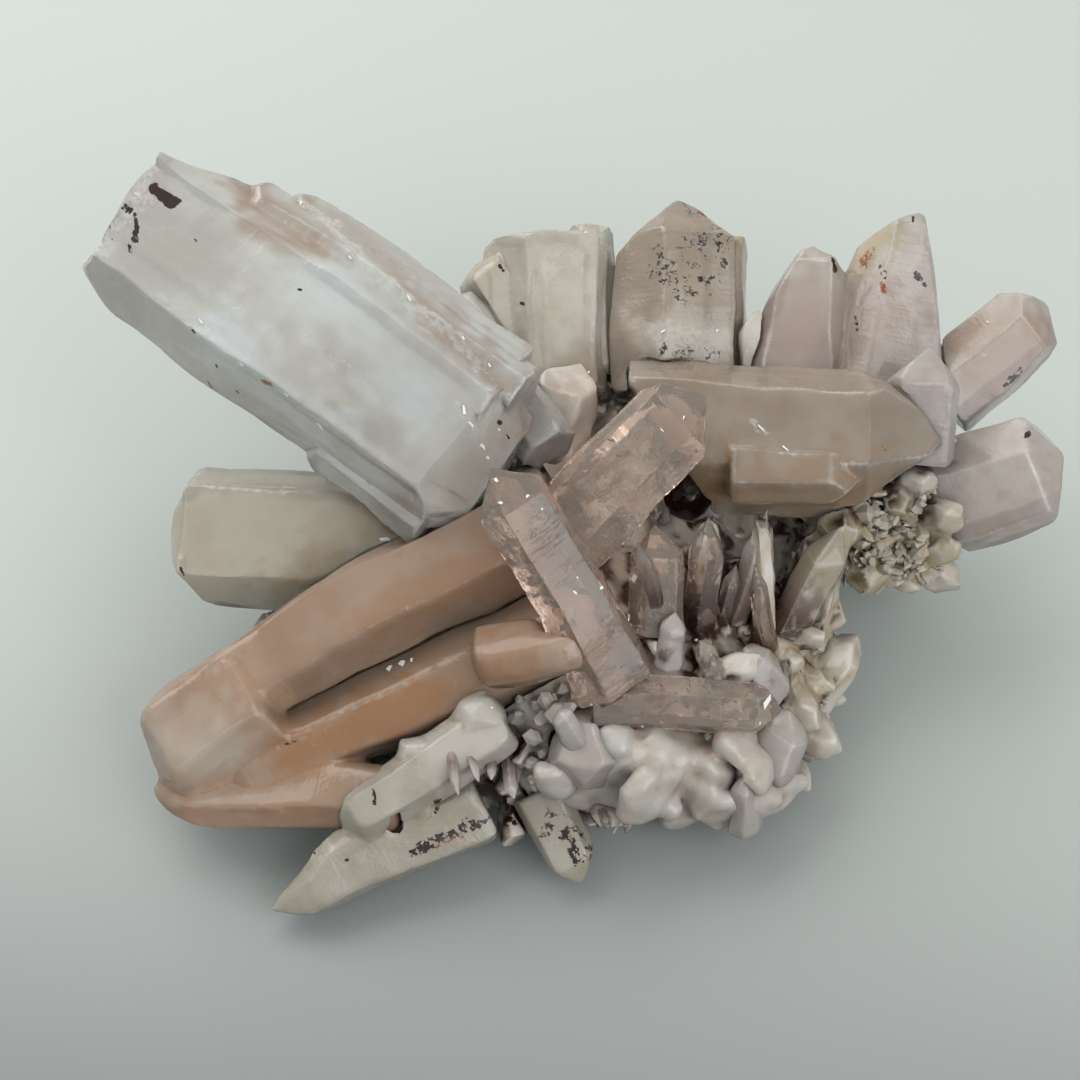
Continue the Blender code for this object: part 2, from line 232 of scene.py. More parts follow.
def makeHairMarks():  # a tangle of fine black needles inside the crystal
    colour = "NodeSocketColor"
    group, nodes, links, start, end = newGroup(
        "hairMarks",
        [("Body", colour, (0.8, 0.8, 0.8, 1)), ("Amount", "NodeSocketFloat", 0)],
        [("Colour", colour)],
    )
    place = newNode(nodes, "ShaderNodeTexCoord").outputs["Object"]
    body = start.outputs["Body"]
    for stretch in ((420, 800, 260), (760, 330, 600)):
        squeeze = newNode(nodes, "ShaderNodeVectorMath", operation="MULTIPLY")
        squeeze.inputs[1].default_value = stretch
        links.new(place, squeeze.inputs[0])
        wander = noiseValue(nodes, links, squeeze.outputs[0], 1, 2, 0.6, 0.4)
        line = math2(nodes, links, "ABSOLUTE", math2(nodes, links, "SUBTRACT", wander, 0.5), 0)
        gathered = ramp(nodes, links, noiseValue(nodes, links, place, 520, 2, 0.7), 0.5, 0.6)
        thin = math2(nodes, links, "MULTIPLY", math2(nodes, links, "MULTIPLY", gathered, start.outputs["Amount"]), 0.034)
        dark = math2(nodes, links, "LESS_THAN", line, thin)
        body = mixColour(nodes, links, math2(nodes, links, "MULTIPLY", dark, 0.9), body, (0.02, 0.014, 0.014))
    links.new(body, end.inputs["Colour"])
    return group


def makeFaceRelief():  # growth lines across a crystal's faces, shallow swells, and worn or frosted patches
    group, nodes, links, start, end = newGroup(
        "faceRelief",
        [("Grain", "NodeSocketVector", (0, 0, 0)), ("Lines", "NodeSocketFloat", 1), ("Frost", "NodeSocketFloat", 0)],
        [("Height", "NodeSocketFloat"), ("Wear", "NodeSocketFloat")],
    )
    stretch = newNode(nodes, "ShaderNodeVectorMath", operation="MULTIPLY")
    stretch.inputs[1].default_value = (60, 60, 1300)
    links.new(start.outputs["Grain"], stretch.inputs[0])
    lines = noiseValue(nodes, links, stretch.outputs[0], 1, 2, 0.7)
    lines = math2(nodes, links, "MULTIPLY", lines, start.outputs["Lines"])
    swell = noiseValue(nodes, links, start.outputs["Grain"], 330, 3, 0.7)
    height = math2(nodes, links, "ADD", lines, math2(nodes, links, "MULTIPLY", swell, 1.8))
    links.new(height, end.inputs["Height"])
    patches = ramp(nodes, links, noiseValue(nodes, links, start.outputs["Grain"], 210, 3, 0.75), 0.5, 0.72)
    worn = math2(nodes, links, "MULTIPLY", patches, 0.5)
    links.new(math2(nodes, links, "MAXIMUM", start.outputs["Frost"], worn), end.inputs["Wear"])
    return group


mineralColour = makeMineralColour()
hairMarks = makeHairMarks()
faceRelief = makeFaceRelief()

# One look for each kind of quartz in the cluster. Transmission and absorption are plain values
quartzLooks = {
    "clearQuartz": {
        "base": (0.98, 0.84, 0.73), "cloud": (0.99, 0.93, 0.87), "warm": (0.85, 0.62, 0.5), "cloudScale": 150,
        "cloudAmount": 0.5, "glow": (1, 0.99, 0.98), "glowAmount": 0.2, "transmission": 0.86, "roughness": 0.04,
        "wearRoughness": 0.34, "absorb": (0.90, 0.60, 0.44), "density": 40, "bump": 0.45, "lines": 0.5,
        "shadow": (0.9, 0.83, 0.78), "edge": 0.9,
    },
    "greatQuartz": {
        "base": (0.64, 0.605, 0.56), "cloud": (0.83, 0.83, 0.785), "warm": (0.50, 0.36, 0.28), "cloudScale": 60,
        "cloudAmount": 0.8, "glow": (0.90, 0.90, 0.86), "glowAmount": 0.75, "transmission": 0.45, "roughness": 0.1,
        "wearRoughness": 0.36, "absorb": (0.89, 0.81, 0.73), "density": 16, "bump": 0.45, "lines": 0.8,
         "pale": (0.84, 0.88, 0.90), "edge": 0.8,
    },
    "milkyQuartz": {
        "base": (0.62, 0.55, 0.455), "cloud": (0.80, 0.755, 0.67), "warm": (0.47, 0.29, 0.16), "cloudScale": 85,
        "cloudAmount": 0.8, "glow": (0.83, 0.79, 0.72), "glowAmount": 0.6, "transmission": 0.45, "roughness": 0.1,
        "wearRoughness": 0.36, "absorb": (0.89, 0.77, 0.66), "density": 20, "bump": 0.4, "lines": 0.8,

    },
    "lilacQuartz": {
        "base": (0.62, 0.51, 0.465), "cloud": (0.80, 0.72, 0.675), "warm": (0.50, 0.33, 0.24), "cloudScale": 110,
        "cloudAmount": 0.8, "glow": (0.86, 0.81, 0.78), "glowAmount": 0.6, "transmission": 0.46, "roughness": 0.12,
        "wearRoughness": 0.34, "absorb": (0.88, 0.74, 0.69), "density": 20, "bump": 0.4, "lines": 0.7,
         "pale": (0.86, 0.76, 0.69),
    },
    "fanQuartz": {
        "base": (0.68, 0.61, 0.51), "cloud": (0.83, 0.77, 0.68), "warm": (0.53, 0.37, 0.25), "cloudScale": 110,
        "cloudAmount": 0.9, "glow": (0.84, 0.80, 0.73), "glowAmount": 0.6, "transmission": 0.43, "roughness": 0.14,
        "wearRoughness": 0.45, "absorb": (0.92, 0.84, 0.74), "density": 18, "bump": 0.4, "lines": 0.6,

    },
    "lumpQuartz": {
        "base": (0.90, 0.76, 0.64), "cloud": (0.99, 0.93, 0.85), "warm": (0.6, 0.4, 0.27), "cloudScale": 190,
        "cloudAmount": 0.9, "glow": (0.96, 0.93, 0.89), "glowAmount": 0.5, "transmission": 0.45, "roughness": 0.16,
        "wearRoughness": 0.45, "absorb": (0.94, 0.85, 0.78), "density": 14, "bump": 0.5, "lines": 0.3,

    },
    "whiteQuartz": {
        "base": (0.55, 0.485, 0.39), "cloud": (0.70, 0.645, 0.555), "warm": (0.53, 0.37, 0.25), "cloudScale": 110,
        "cloudAmount": 0.9, "glow": (0.80, 0.75, 0.66), "glowAmount": 0.6, "transmission": 0.43, "roughness": 0.16,
        "wearRoughness": 0.45, "absorb": (0.92, 0.84, 0.74), "density": 20, "bump": 0.4, "lines": 0.6,
         "hair": True, "pale": (0.88, 0.82, 0.75),
    },
    "pinkQuartz": {
        "base": (0.56, 0.35, 0.235), "cloud": (0.68, 0.485, 0.37), "warm": (0.55, 0.26, 0.11), "cloudScale": 70,
        "cloudAmount": 0.8, "glow": (0.76, 0.60, 0.48), "glowAmount": 0.75, "transmission": 0.45, "roughness": 0.12,
        "wearRoughness": 0.34, "absorb": (0.90, 0.68, 0.53), "density": 18, "bump": 0.35, "lines": 0.7,
         "edge": 0.25,
    },
    "greyQuartz": {
        "base": (0.44, 0.345, 0.27), "cloud": (0.56, 0.465, 0.385), "warm": (0.47, 0.29, 0.16), "cloudScale": 80,
        "cloudAmount": 0.8, "glow": (0.70, 0.61, 0.53), "glowAmount": 0.6, "transmission": 0.45, "roughness": 0.1,
        "wearRoughness": 0.36, "absorb": (0.86, 0.71, 0.60), "density": 20, "bump": 0.35, "lines": 0.7,
         "hair": True,
    },
    # near-white and opaque: the colour of the painted glints
    "paintedGlintQuartz": {
        "base": (0.98, 0.98, 0.97), "cloud": (1, 1, 1), "warm": (0.9, 0.8, 0.7), "cloudScale": 200,
        "cloudAmount": 0.3, "glow": (1, 1, 1), "glowAmount": 0.2, "transmission": 0, "roughness": 0.05,
        "wearRoughness": 0.2, "absorb": (0.95, 0.95, 0.95), "density": 1, "bump": 0.1, "lines": 0.2,

    },
    "druseQuartz": {
        "base": (0.87, 0.73, 0.61), "cloud": (0.98, 0.91, 0.83), "warm": (0.42, 0.24, 0.13), "cloudScale": 170,
        "cloudAmount": 0.9, "glow": (0.93, 0.88, 0.83), "glowAmount": 0.6, "transmission": 0.34, "roughness": 0.12,
        "wearRoughness": 0.36, "absorb": (0.91, 0.78, 0.71), "density": 20, "bump": 0.35, "lines": 0.4,

    },
}


def makeQuartz(name, look):
    material = bpy.data.materials.new(name)
    material.use_nodes = True
    nodes, links = material.node_tree.nodes, material.node_tree.links
    nodes.clear()
    tint = newNode(nodes, "ShaderNodeAttribute", attribute_name="tint")
    grain = newNode(nodes, "ShaderNodeAttribute", attribute_name="grain")
    veil = newNode(nodes, "ShaderNodeAttribute", attribute_name="veil")
    colour = newNode(nodes, "ShaderNodeGroup", node_tree=mineralColour)
    links.new(tint.outputs["Color"], colour.inputs["Tint"])
    links.new(veil.outputs["Color"], colour.inputs["Veil"])
    # the veil layer's alpha carries the painted shade of hollows and gaps
    links.new(veil.outputs["Alpha"], colour.inputs["Painted Shade"])
    links.new(tint.outputs["Alpha"], colour.inputs["Frost"])
    form = newNode(nodes, "ShaderNodeAttribute", attribute_name="form")
    links.new(form.outputs["Color"], colour.inputs["Form"])
    colour.inputs["Glow Amount"].default_value = look["glowAmount"]
    for label, key in (("Base", "base"), ("Cloud", "cloud"), ("Warm", "warm"), ("Glow", "glow")):
        colour.inputs[label].default_value = (*look[key], 1)
    colour.inputs["Stain"].default_value = (0.57, 0.45, 0.25, 1)
    colour.inputs["Pale"].default_value = (*look.get("pale", (0.72, 0.62, 0.52)), 1)
    colour.inputs["Edge Amount"].default_value = look.get("edge", 0.6)
    colour.inputs["Cloud Scale"].default_value = look["cloudScale"]
    colour.inputs["Cloud Amount"].default_value = look["cloudAmount"]
    relief = newNode(nodes, "ShaderNodeGroup", node_tree=faceRelief)
    links.new(grain.outputs["Vector"], relief.inputs["Grain"])
    links.new(tint.outputs["Alpha"], relief.inputs["Frost"])
    relief.inputs["Lines"].default_value = look["lines"]
    bump = newNode(nodes, "ShaderNodeBump")
    bump.inputs["Strength"].default_value = look["bump"]
    bump.inputs["Distance"].default_value = 0.0002
    links.new(relief.outputs["Height"], bump.inputs["Height"])
    shader = newNode(nodes, "ShaderNodeBsdfPrincipled")
    body = colour.outputs["Colour"]
    if look.get("hair"):
        needles = newNode(nodes, "ShaderNodeGroup", node_tree=hairMarks)
        split = newNode(nodes, "ShaderNodeSeparateColor")
        links.new(veil.outputs["Color"], split.inputs[0])
        links.new(split.outputs[0], needles.inputs["Amount"])
        links.new(body, needles.inputs["Body"])
        body = needles.outputs["Colour"]
    links.new(body, shader.inputs["Base Color"])
    links.new(bump.outputs["Normal"], shader.inputs["Normal"])
    rough = newNode(nodes, "ShaderNodeMapRange")
    rough.inputs["To Min"].default_value = look["roughness"]
    rough.inputs["To Max"].default_value = look["wearRoughness"]
    links.new(relief.outputs["Wear"], rough.inputs["Value"])
    links.new(rough.outputs["Result"], shader.inputs["Roughness"])
    shader.inputs["IOR"].default_value = 1.54
    shader.inputs["Transmission Weight"].default_value = look["transmission"]
    surface = shader
    if "shadow" in look:  # light passes the clearest quartz
        clear = newNode(nodes, "ShaderNodeBsdfTransparent")
        clear.inputs["Color"].default_value = (*look["shadow"], 1)
        path = newNode(nodes, "ShaderNodeLightPath")
        surface = newNode(nodes, "ShaderNodeMixShader")
        links.new(path.outputs["Is Shadow Ray"], surface.inputs[0])
        links.new(shader.outputs[0], surface.inputs[1])
        links.new(clear.outputs[0], surface.inputs[2])
    absorb = newNode(nodes, "ShaderNodeVolumeAbsorption")
    absorb.inputs["Color"].default_value = (*look["absorb"], 1)
    absorb.inputs["Density"].default_value = look["density"]
    output = newNode(nodes, "ShaderNodeOutputMaterial")
    links.new(surface.outputs[0], output.inputs["Surface"])
    links.new(absorb.outputs[0], output.inputs["Volume"])
    return material


materials = {name: makeQuartz(name, look) for name, look in quartzLooks.items()}
print("quartz materials made")

# Each large crystal: its material and slot, its axis from root to tip as (across, up, height) in
# millimetres, how rough it is, and what is painted on it at pixels of the photograph. A paint stroke is
# (kind, radius in millimetres, strength, points)
crystals = {
    "great_crystal": {
        "material": "greatQuartz", "slot": "milky_quartz", "axes": [((-7.4, 10.5, 46), (-65, 51, 60))],
        "ripple": 0.09, "chips": 1.0, "brokenEnd": 1.8, "stepScale": 230, "soft": 1, "streaks": 0.22,
        "paint": [
            ("dark", 0.95, 2.4, [(156, 183), (168, 190), (177, 198)]), ("rust", 1.2, 1.0, [(158, 181), (174, 192)]),
            ("dark", 1.2, 0.98, [(122, 202), (132, 208)]), ("dark", 1.1, 1.0, [(137, 212), (139, 226), (136, 238)]),
            ("dark", 1.0, 1.0, [(130, 246), (131, 252)]), ("dark", 1.6, 0.97, [(80, 256), (86, 240), (96, 230)]),
            ("dark", 0.8, 0.95, [(108, 222), (112, 240)]), ("dark", 0.6, 1.1, [(198, 236), (200, 238)]),
            ("dark", 0.9, 1.1, [(188, 373), (198, 378)]), ("dark", 0.6, 1.2, [(213, 379), (216, 386)]),
            ("dark", 0.5, 1.2, [(222, 365), (223, 367)]), ("dark", 0.5, 1.2, [(196, 329), (198, 331)]),
            ("dark", 0.5, 1.2, [(299, 289), (301, 290)]), ("dark", 0.5, 1.1, [(398, 312), (399, 313)]),
            ("rust", 0.9, 1.4, [(265, 383), (271, 385)]), ("dark", 0.5, 1.1, [(240, 392), (246, 398)]),
            ("dark", 0.5, 1.2, [(499, 417), (501, 419)]), ("dark", 0.4, 1.2, [(507, 431), (509, 434)]),
            ("warm", 5, 1.0, [(250, 190), (262, 205), (310, 245)]), ("warm", 3, 1.1, [(290, 192), (306, 205)]),
            ("pale", 8, 0.9, [(335, 290), (375, 340), (400, 380)]), ("warm", 3, 0.7, [(330, 215), (420, 300), (500, 390)]),
            ("warm", 6, 0.8, [(440, 330), (520, 430)]), ("warm", 9, 0.15, [(390, 480), (480, 470)]), ("warm", 3, 0.8, [(250, 225), (330, 260)]),
            ("frost", 7, 0.8, [(100, 240), (140, 190)]), ("frost", 3.5, 0.7, [(200, 330), (270, 390), (330, 430)]),
            ("frost", 2.4, 0.8, [(300, 200), (380, 280), (450, 330), (510, 400)]), ("warm", 4, 0.8, [(300, 470), (400, 500)]),
            ("pale", 6, 0.7, [(300, 445), (380, 480)]),
            ("frost", 3, 0.7, [(455, 400), (475, 430)]), ("pale", 7, 1.3, [(225, 350), (310, 425)]),
            ("frost", 5, 0.55, [(170, 330), (240, 250)]), ("frost", 3, 0.6, [(300, 330), (420, 430)]),
        ],
    },
    "left_crystal": {
        "material": "milkyQuartz", "slot": "milky_quartz", "axes": [((-15, -3.5, 24), (-56.4, 1, 25.5))],
        "ripple": 0.14, "chips": 0.7, "soft": 5, "streaks": 0.1,
        "paint": [
            ("stain", 16, 0.28, [(200, 540), (320, 540)]), ("warm", 8, 0.55, [(375, 525), (390, 560)]),
            ("warm", 5, 0.6, [(300, 590), (340, 570)]), ("dark", 0.8, 1.2, [(185, 487), (189, 490)]),
            ("dark", 0.9, 1.1, [(184, 568), (188, 575)]), ("warm", 1.2, 0.8, [(305, 575), (345, 560)]),
        ],
    },
    "pink_crystal": {
        "material": "pinkQuartz", "slot": "pink_quartz",
        "axes": [((3, 5.3, 36), (-53, -25, 18.5)), ((9.5, -10.5, 27), (-46, -36.5, 11)),
                 ((-42, -22.5, 22), (-58.6, -33.4, 13)), ((-10, -18, 30), (8, -14.8, 36)),
                 ((-20, -40, 13), (-59.5, -37.4, 9.5))],
        "ripple": 0.14, "chips": 0.5, "soft": 24, "streaks": 0.1,
        "paint": [
            ("warm", 7, 0.95, [(300, 760), (420, 700), (540, 660)]), ("warm", 5, 0.6, [(380, 630), (470, 580)]),
            ("pale", 10, 0.95, [(160, 730), (200, 745)]), ("warm", 7, 0.4, [(180, 800), (320, 820)]),
            ("pale", 4, 0.6, [(550, 645), (585, 640)]), ("frost", 3, 0.6, [(256, 719), (350, 672), (470, 602)]),
            ("dark", 0.5, 0.9, [(287, 743), (300, 741)]), ("frost", 4, 0.55, [(200, 640), (330, 560), (470, 500)]),
            ("frost", 5, 0.5, [(150, 700), (190, 780)]),
        ],
    },
    "white_blade": {
        "material": "whiteQuartz", "slot": "white_quartz",
        "axes": [((-9, -40, 11), (-41.3, -55.3, 4.5)), ((-6, -27, 22), (-29.5, -44.5, 12.5)),
                 ((-18, -30, 21), (-19, -44.8, 11)), ((-11.5, -32, 17), (-8.2, -23.4, 27))],
        "ripple": 0.12, "chips": 0.6, "soft": 6,
        "paint": [
            ("dark", 1.8, 1.02, [(415, 858), (440, 838), (486, 820)]), ("rust", 1.6, 0.75, [(415, 858), (480, 822)]),
            ("dark", 1.0, 0.98, [(378, 788), (380, 804)]), ("dark", 0.6, 1.2, [(350, 868), (352, 870)]),
            ("dark", 1.0, 1.1, [(436, 800), (437, 812)]), ("dark", 0.5, 1.2, [(317, 857), (318, 858)]),
            ("stain", 6, 0.25, [(380, 850), (450, 820)]), ("pale", 6, 1.6, [(440, 740), (470, 715), (492, 738)]),
        ],
    },
    "marked_point": {
        "material": "whiteQuartz", "slot": "white_quartz", "axes": [((-1, -38, 11), (6.4, -51.7, 4.2))],
        "ripple": 0.06, "chips": 0.4, "soft": 3,
        "paint": [
            ("hair", 3.4, 1.9, [(552, 830), (578, 850)]), ("dark", 1.3, 1.0, [(560, 830), (572, 842), (574, 862)]),
            ("stain", 2.5, 0.7, [(576, 876), (584, 868)]),
        ],
    },
    "stub_crystal": {
        "material": "lilacQuartz", "slot": "milky_quartz", "axes": [((17, -30, 10), (2.5, -33, 23.5))],
        "ripple": 0.08, "chips": 0.5, "soft": 3, "paint": [("pale", 9, 1.0, [(570, 750), (610, 760)]), ("frost", 4, 0.6, [(560, 780), (600, 785)])],
    },
    "clear_point_middle": {
        "material": "clearQuartz", "slot": "clear_quartz", "axes": [((11, -22, 25), (-6.4, 11.3, 57))],
        "ripple": 0.035, "chips": 0.3, "paint": [("frost", 2.5, 0.6, [(520, 590), (560, 640), (590, 680)])],
    },
    "clear_point_upper": {
        "material": "clearQuartz", "slot": "clear_quartz", "axes": [((1.2, -1, 38), (24, 21.4, 54))],
        "ripple": 0.035, "chips": 0.3, "paint": [("frost", 3, 0.5, [(560, 500), (590, 540)])],
    },
    "clear_point_small": {
        "material": "clearQuartz", "slot": "clear_quartz", "axes": [((16.8, -14, 28), (17.6, 2, 40))],
        "ripple": 0.03, "chips": 0.3, "paint": [],
    },
    "clear_point_right": {
        "material": "clearQuartz", "slot": "clear_quartz", "axes": [((8, -25, 24), (37, -25.2, 25))],
        "ripple": 0.03, "chips": 0.3, "paint": [("frost", 3, 0.6, [(640, 700), (690, 700)])],
    },
    "bar_crystal": {
        "material": "greyQuartz", "slot": "grey_quartz", "axes": [((13.5, 16.5, 38), (60.3, 15.3, 40))],
        "ripple": 0.12, "chips": 0.6, "soft": 3, "streaks": 0.12,
        "paint": [
            ("warm", 8, 1.0, [(700, 480), (860, 495)]), ("warm", 5, 0.4, [(640, 400), (700, 380)]),
            ("frost", 1.2, 0.9, [(755, 420), (800, 452)]), ("dark", 0.6, 0.8, [(880, 440), (890, 452)]),
        ],
    },
    "wedge_crystal": {
        "material": "lilacQuartz", "slot": "milky_quartz", "axes": [((57, 13, 34), (59, 29.5, 48))],
        "ripple": 0.05, "chips": 0.4, "soft": 2, "paint": [],
    },
    "fan_crystal": {
        "material": "fanQuartz", "slot": "white_quartz", "axes": [((3, 22, 36), (2, 47, 48))],
        "ripple": 0.16, "chips": 0.9, "brokenEnd": 2.8, "stepScale": 330, "soft": 3, "streaks": 0.2,
        "paint": [
            ("warm", 8, 0.85, [(520, 385), (600, 370)]), ("dark", 0.6, 1.2, [(505, 262), (508, 266)]),
            ("dark", 0.5, 1.2, [(528, 298), (530, 300)]), ("stain", 3, 0.25, [(480, 278), (500, 262)]),
        ],
    },
    "smoky_crystal": {
        "material": "greyQuartz", "slot": "grey_quartz", "axes": [((21.5, 22, 35), (21.5, 51.6, 50.5))],
        "ripple": 0.16, "chips": 0.9, "soft": 3, "streaks": 0.1,
        "paint": [
            ("hair", 4.6, 1.1, [(664, 258), (676, 276), (700, 286)]), ("hair", 3.0, 1.3, [(722, 234), (722, 262)]),
            ("hair", 2.6, 1.2, [(690, 240), (712, 252)]), ("hair", 2.4, 1.2, [(672, 352), (710, 356)]),
            ("hair", 2.4, 0.8, [(655, 208), (696, 208)]), ("stain", 3, 0.8, [(735, 240), (745, 262)]),
            ("pale", 6, 1.0, [(665, 335), (735, 345)]), ("frost", 5, 0.9, [(665, 335), (735, 340)]),
            ("rust", 1.0, 0.9, [(700, 210), (706, 214)]),
        ],
    },
    "peak_crystal": {
        "material": "lilacQuartz", "slot": "milky_quartz",
        "axes": [((51, 22, 32), (55.4, 49, 49.5)), ((40, 22, 33), (41.5, 43.6, 47))],
        "ripple": 0.12, "chips": 0.7, "soft": 2, "streaks": 0.12,
        "paint": [
            ("stain", 4.5, 0.95, [(868, 256), (890, 240)]), ("rust", 1.3, 1.0, [(862, 268), (872, 256)]),
            ("rust", 0.8, 1.3, [(882, 290), (884, 296)]), ("dark", 1.0, 1.0, [(880, 274), (886, 282)]),
            ("dark", 0.9, 1.3, [(835, 265), (836, 274)]), ("warm", 13, 0.6, [(780, 330), (850, 330)]),
            ("dark", 0.6, 1.3, [(911, 224), (912, 230)]), ("dark", 0.6, 1.1, [(914, 280), (922, 290)]),
            ("dark", 0.6, 1.0, [(858, 318), (862, 330)]),
        ],
    },
    "corner_crystal": {
        "material": "lilacQuartz", "slot": "milky_quartz", "axes": [((60, 22, 31), (76.6, 35.6, 40))],
        "ripple": 0.06, "chips": 0.4, "soft": 3,
        "paint": [
            ("warm", 4.5, 0.8, [(1000, 318), (1034, 330)]), ("dark", 1.3, 1.0, [(1003, 380), (1018, 368)]),
            ("frost", 4, 0.6, [(955, 330), (980, 350)]), ("warm", 11, 0.75, [(970, 330), (1000, 350)]),
        ],
    },
    "end_crystal": {
        "material": "lilacQuartz", "slot": "milky_quartz", "axes": [((61, 7, 25), (79.3, 12.6, 34))],
        "ripple": 0.05, "chips": 0.4, "soft": 3,
        "paint": [("dark", 0.7, 1.3, [(1024, 432), (1029, 429)]), ("warm", 3.5, 0.5, [(975, 530), (1000, 520)])],
    },
    "back_crystal_left": {
        "material": "milkyQuartz", "slot": "milky_quartz", "axes": [((-6, 24, 16), (-30, 41, 25))],
        "ripple": 0.08, "chips": 0.5, "soft": 2, "paint": [],
    },
    "back_crystal_right": {
        "material": "milkyQuartz", "slot": "milky_quartz", "axes": [((34, 21, 16), (50, 44, 22))],
        "ripple": 0.08, "chips": 0.5, "soft": 2, "paint": [],
    },
    "back_crystal_low": {
        "material": "greyQuartz", "slot": "grey_quartz", "axes": [((10, 18, 12), (12, 46, 14))],
        "ripple": 0.08, "chips": 0.5, "soft": 2, "paint": [],
    },
}

# the last channel holds painted shade for hollows and gaps
channels = {"dark": 0, "stain": 1, "warm": 2, "frost": 3, "hair": 4, "pale": 5, "rust": 6, "paintedShade": 7}


finest = 0.26  # shortest edge, in millimetres, that a painted mark asks for


def divideTriangles(points, triangles, limit, marks=()):  # edges longer than the limit are halved till none is
    while True:
        sides = np.concatenate([triangles[:, [0, 1]], triangles[:, [1, 2]], triangles[:, [2, 0]]])
        edges, which = np.unique(np.sort(sides, axis=1), axis=0, return_inverse=True)
        which = which.reshape(3, -1).T
        lengths = np.linalg.norm(points[edges[:, 0]] - points[edges[:, 1]], axis=1)
        middles = (points[edges[:, 0]] + points[edges[:, 1]]) / 2
        split = lengths > limit
        maybe = np.flatnonzero(~split & (lengths > finest * mm))
        for radius, first, last in marks:  # finer where a small mark is painted
            close = distanceToLine(middles[maybe], first, last) < radius * 1.3 + lengths[maybe] / 2
            split[maybe[close & (lengths[maybe] > max(radius * 0.4, finest * mm))]] = True
        if not split.any():
            return points, triangles
        middle = np.full(len(edges), -1)
        middle[split] = len(points) + np.arange(split.sum())
        points = np.concatenate([points, middles[split]])
        cut = middle[which]
        count = (cut >= 0).sum(axis=1)
        pieces = [triangles[count == 0]]
        for turn in range(3):
            t, m = np.roll(triangles, -turn, axis=1), np.roll(cut, -turn, axis=1)
            one = (count == 1) & (m[:, 0] >= 0)
            pieces += [np.stack([t[one, 0], m[one, 0], t[one, 2]], 1), np.stack([m[one, 0], t[one, 1], t[one, 2]], 1)]
            two = (count == 2) & (m[:, 2] < 0)
            a, b, c, ab, bc = t[two, 0], t[two, 1], t[two, 2], m[two, 0], m[two, 1]
            near = np.linalg.norm(points[ab] - points[c], axis=1) < np.linalg.norm(points[bc] - points[a], axis=1)
            pieces += [np.stack([ab, b, bc], 1)]
            pieces += [np.stack([a, ab, np.where(near, c, bc)], 1), np.stack([np.where(near, ab, a), bc, c], 1)]
        t, m = triangles[count == 3], cut[count == 3]
        pieces += [m, np.stack([t[:, 0], m[:, 0], m[:, 2]], 1)]
        pieces += [np.stack([m[:, 0], t[:, 1], m[:, 1]], 1), np.stack([m[:, 2], m[:, 1], t[:, 2]], 1)]
        triangles = np.concatenate(pieces)


def distanceToLine(points, start, end):
    line = end - start
    t = np.clip(((points - start) @ line) / max(line @ line, 1e-12), 0, 1)
    return np.linalg.norm(points - (start + t[:, None] * line), axis=1)


def grainFrames(axes):
    made = []
    for root, tip in axes:
        start, end = seenAt(*root), seenAt(*tip)
        along = (end - start).normalized()
        side = along.cross(Vector((0, 0, 1))).normalized()
        made.append((np.array(start), np.array(end), np.array([side, side.cross(along), along])))
    return made


def grainOf(points, frames):  # each point's place in the frame of the crystal that it belongs to
    distances = np.array([distanceToLine(points, start, end) for start, end, _ in frames])
    owner = distances.argmin(axis=0)
    grain, axis = np.zeros_like(points), np.zeros_like(points)
    for i, (start, _, turn) in enumerate(frames):
        mine = owner == i
        grain[mine] = (points[mine] - start) @ turn.T
        axis[mine] = turn[2]
    return grain, axis


def strokeLines(strokes):  # (kind, radius, strength, first end, last end) of each short line that is painted
    for kind, radius, strength, pixels in strokes:
        places = [np.array(onSurface(*p)) for p in pixels]
        for first, last in zip(places, places[1:] or places):
            yield kind, radius * mm, strength, first, last


def smallMarks(strokes):
    sharp = ("dark", "rust", "hair")
    return [(radius, a, b) for kind, radius, _, a, b in strokeLines(strokes) if kind in sharp]


def paintTint(points, strokes):
    tint = np.zeros((len(points), len(channels)), np.float32)
    ragged = 1 + 0.9 * noiseAt(points, 520, 9)
    for kind, radius, strength, first, last in strokeLines(strokes):
        nearest = distanceToLine(points, first, last) * ragged
        weight = strength * np.clip(1.3 - nearest / radius * 1.3, 0, 1)
        channel = channels[kind]
        tint[:, channel] = np.maximum(tint[:, channel], weight)
    return tint


def noiseAt(points, scale, seed=0):  # smooth swells from random values at the corners of a lattice
    place = points * scale + np.array((seed * 13.1, seed * 7.7, seed * 3.3)) + 500
    cell = np.floor(place).astype(np.int64)
    share = place - cell
    share = share * share * (3 - 2 * share)
    total = np.zeros(len(points))
    for corner in np.ndindex(2, 2, 2):
        mixed = (cell + corner) @ np.array((73856093, 19349663, 83492791))
        mixed = ((mixed ^ (mixed >> 13)) * 1274126177) & 0xFFFFFFFF
        mixed = (mixed ^ (mixed >> 15)) & 0xFFFF
        weight = np.prod(np.where(np.array(corner) == 1, share, 1 - share), axis=1)
        total += (mixed / 0x8000 - 1) * weight
    return total * 0.8


warpLook = {
    "broad": (42, 1.5),  # how many turns a metre, and how far in millimetres
    "close": (150, 0.5),
    "margin": 3,  # the bending fades out this many millimetres from the outermost corners
}


def warp(points):  # crystals that grew together bend and swell together, so one field moves them all
    moved = np.zeros_like(points)
    for scale, reach in (warpLook["broad"], warpLook["close"]):
        moved += np.stack([noiseAt(points, scale, seed) for seed in (11, 12, 13)], axis=1) * reach * mm
    low, high = (np.array(corner) for corner in cadBox)
    margin = warpLook["margin"] * mm
    hold = np.clip((points - low) / margin, 0, 1) * np.clip((high - points) / margin, 0, 1)
    return np.clip(points + moved * hold, low, high)


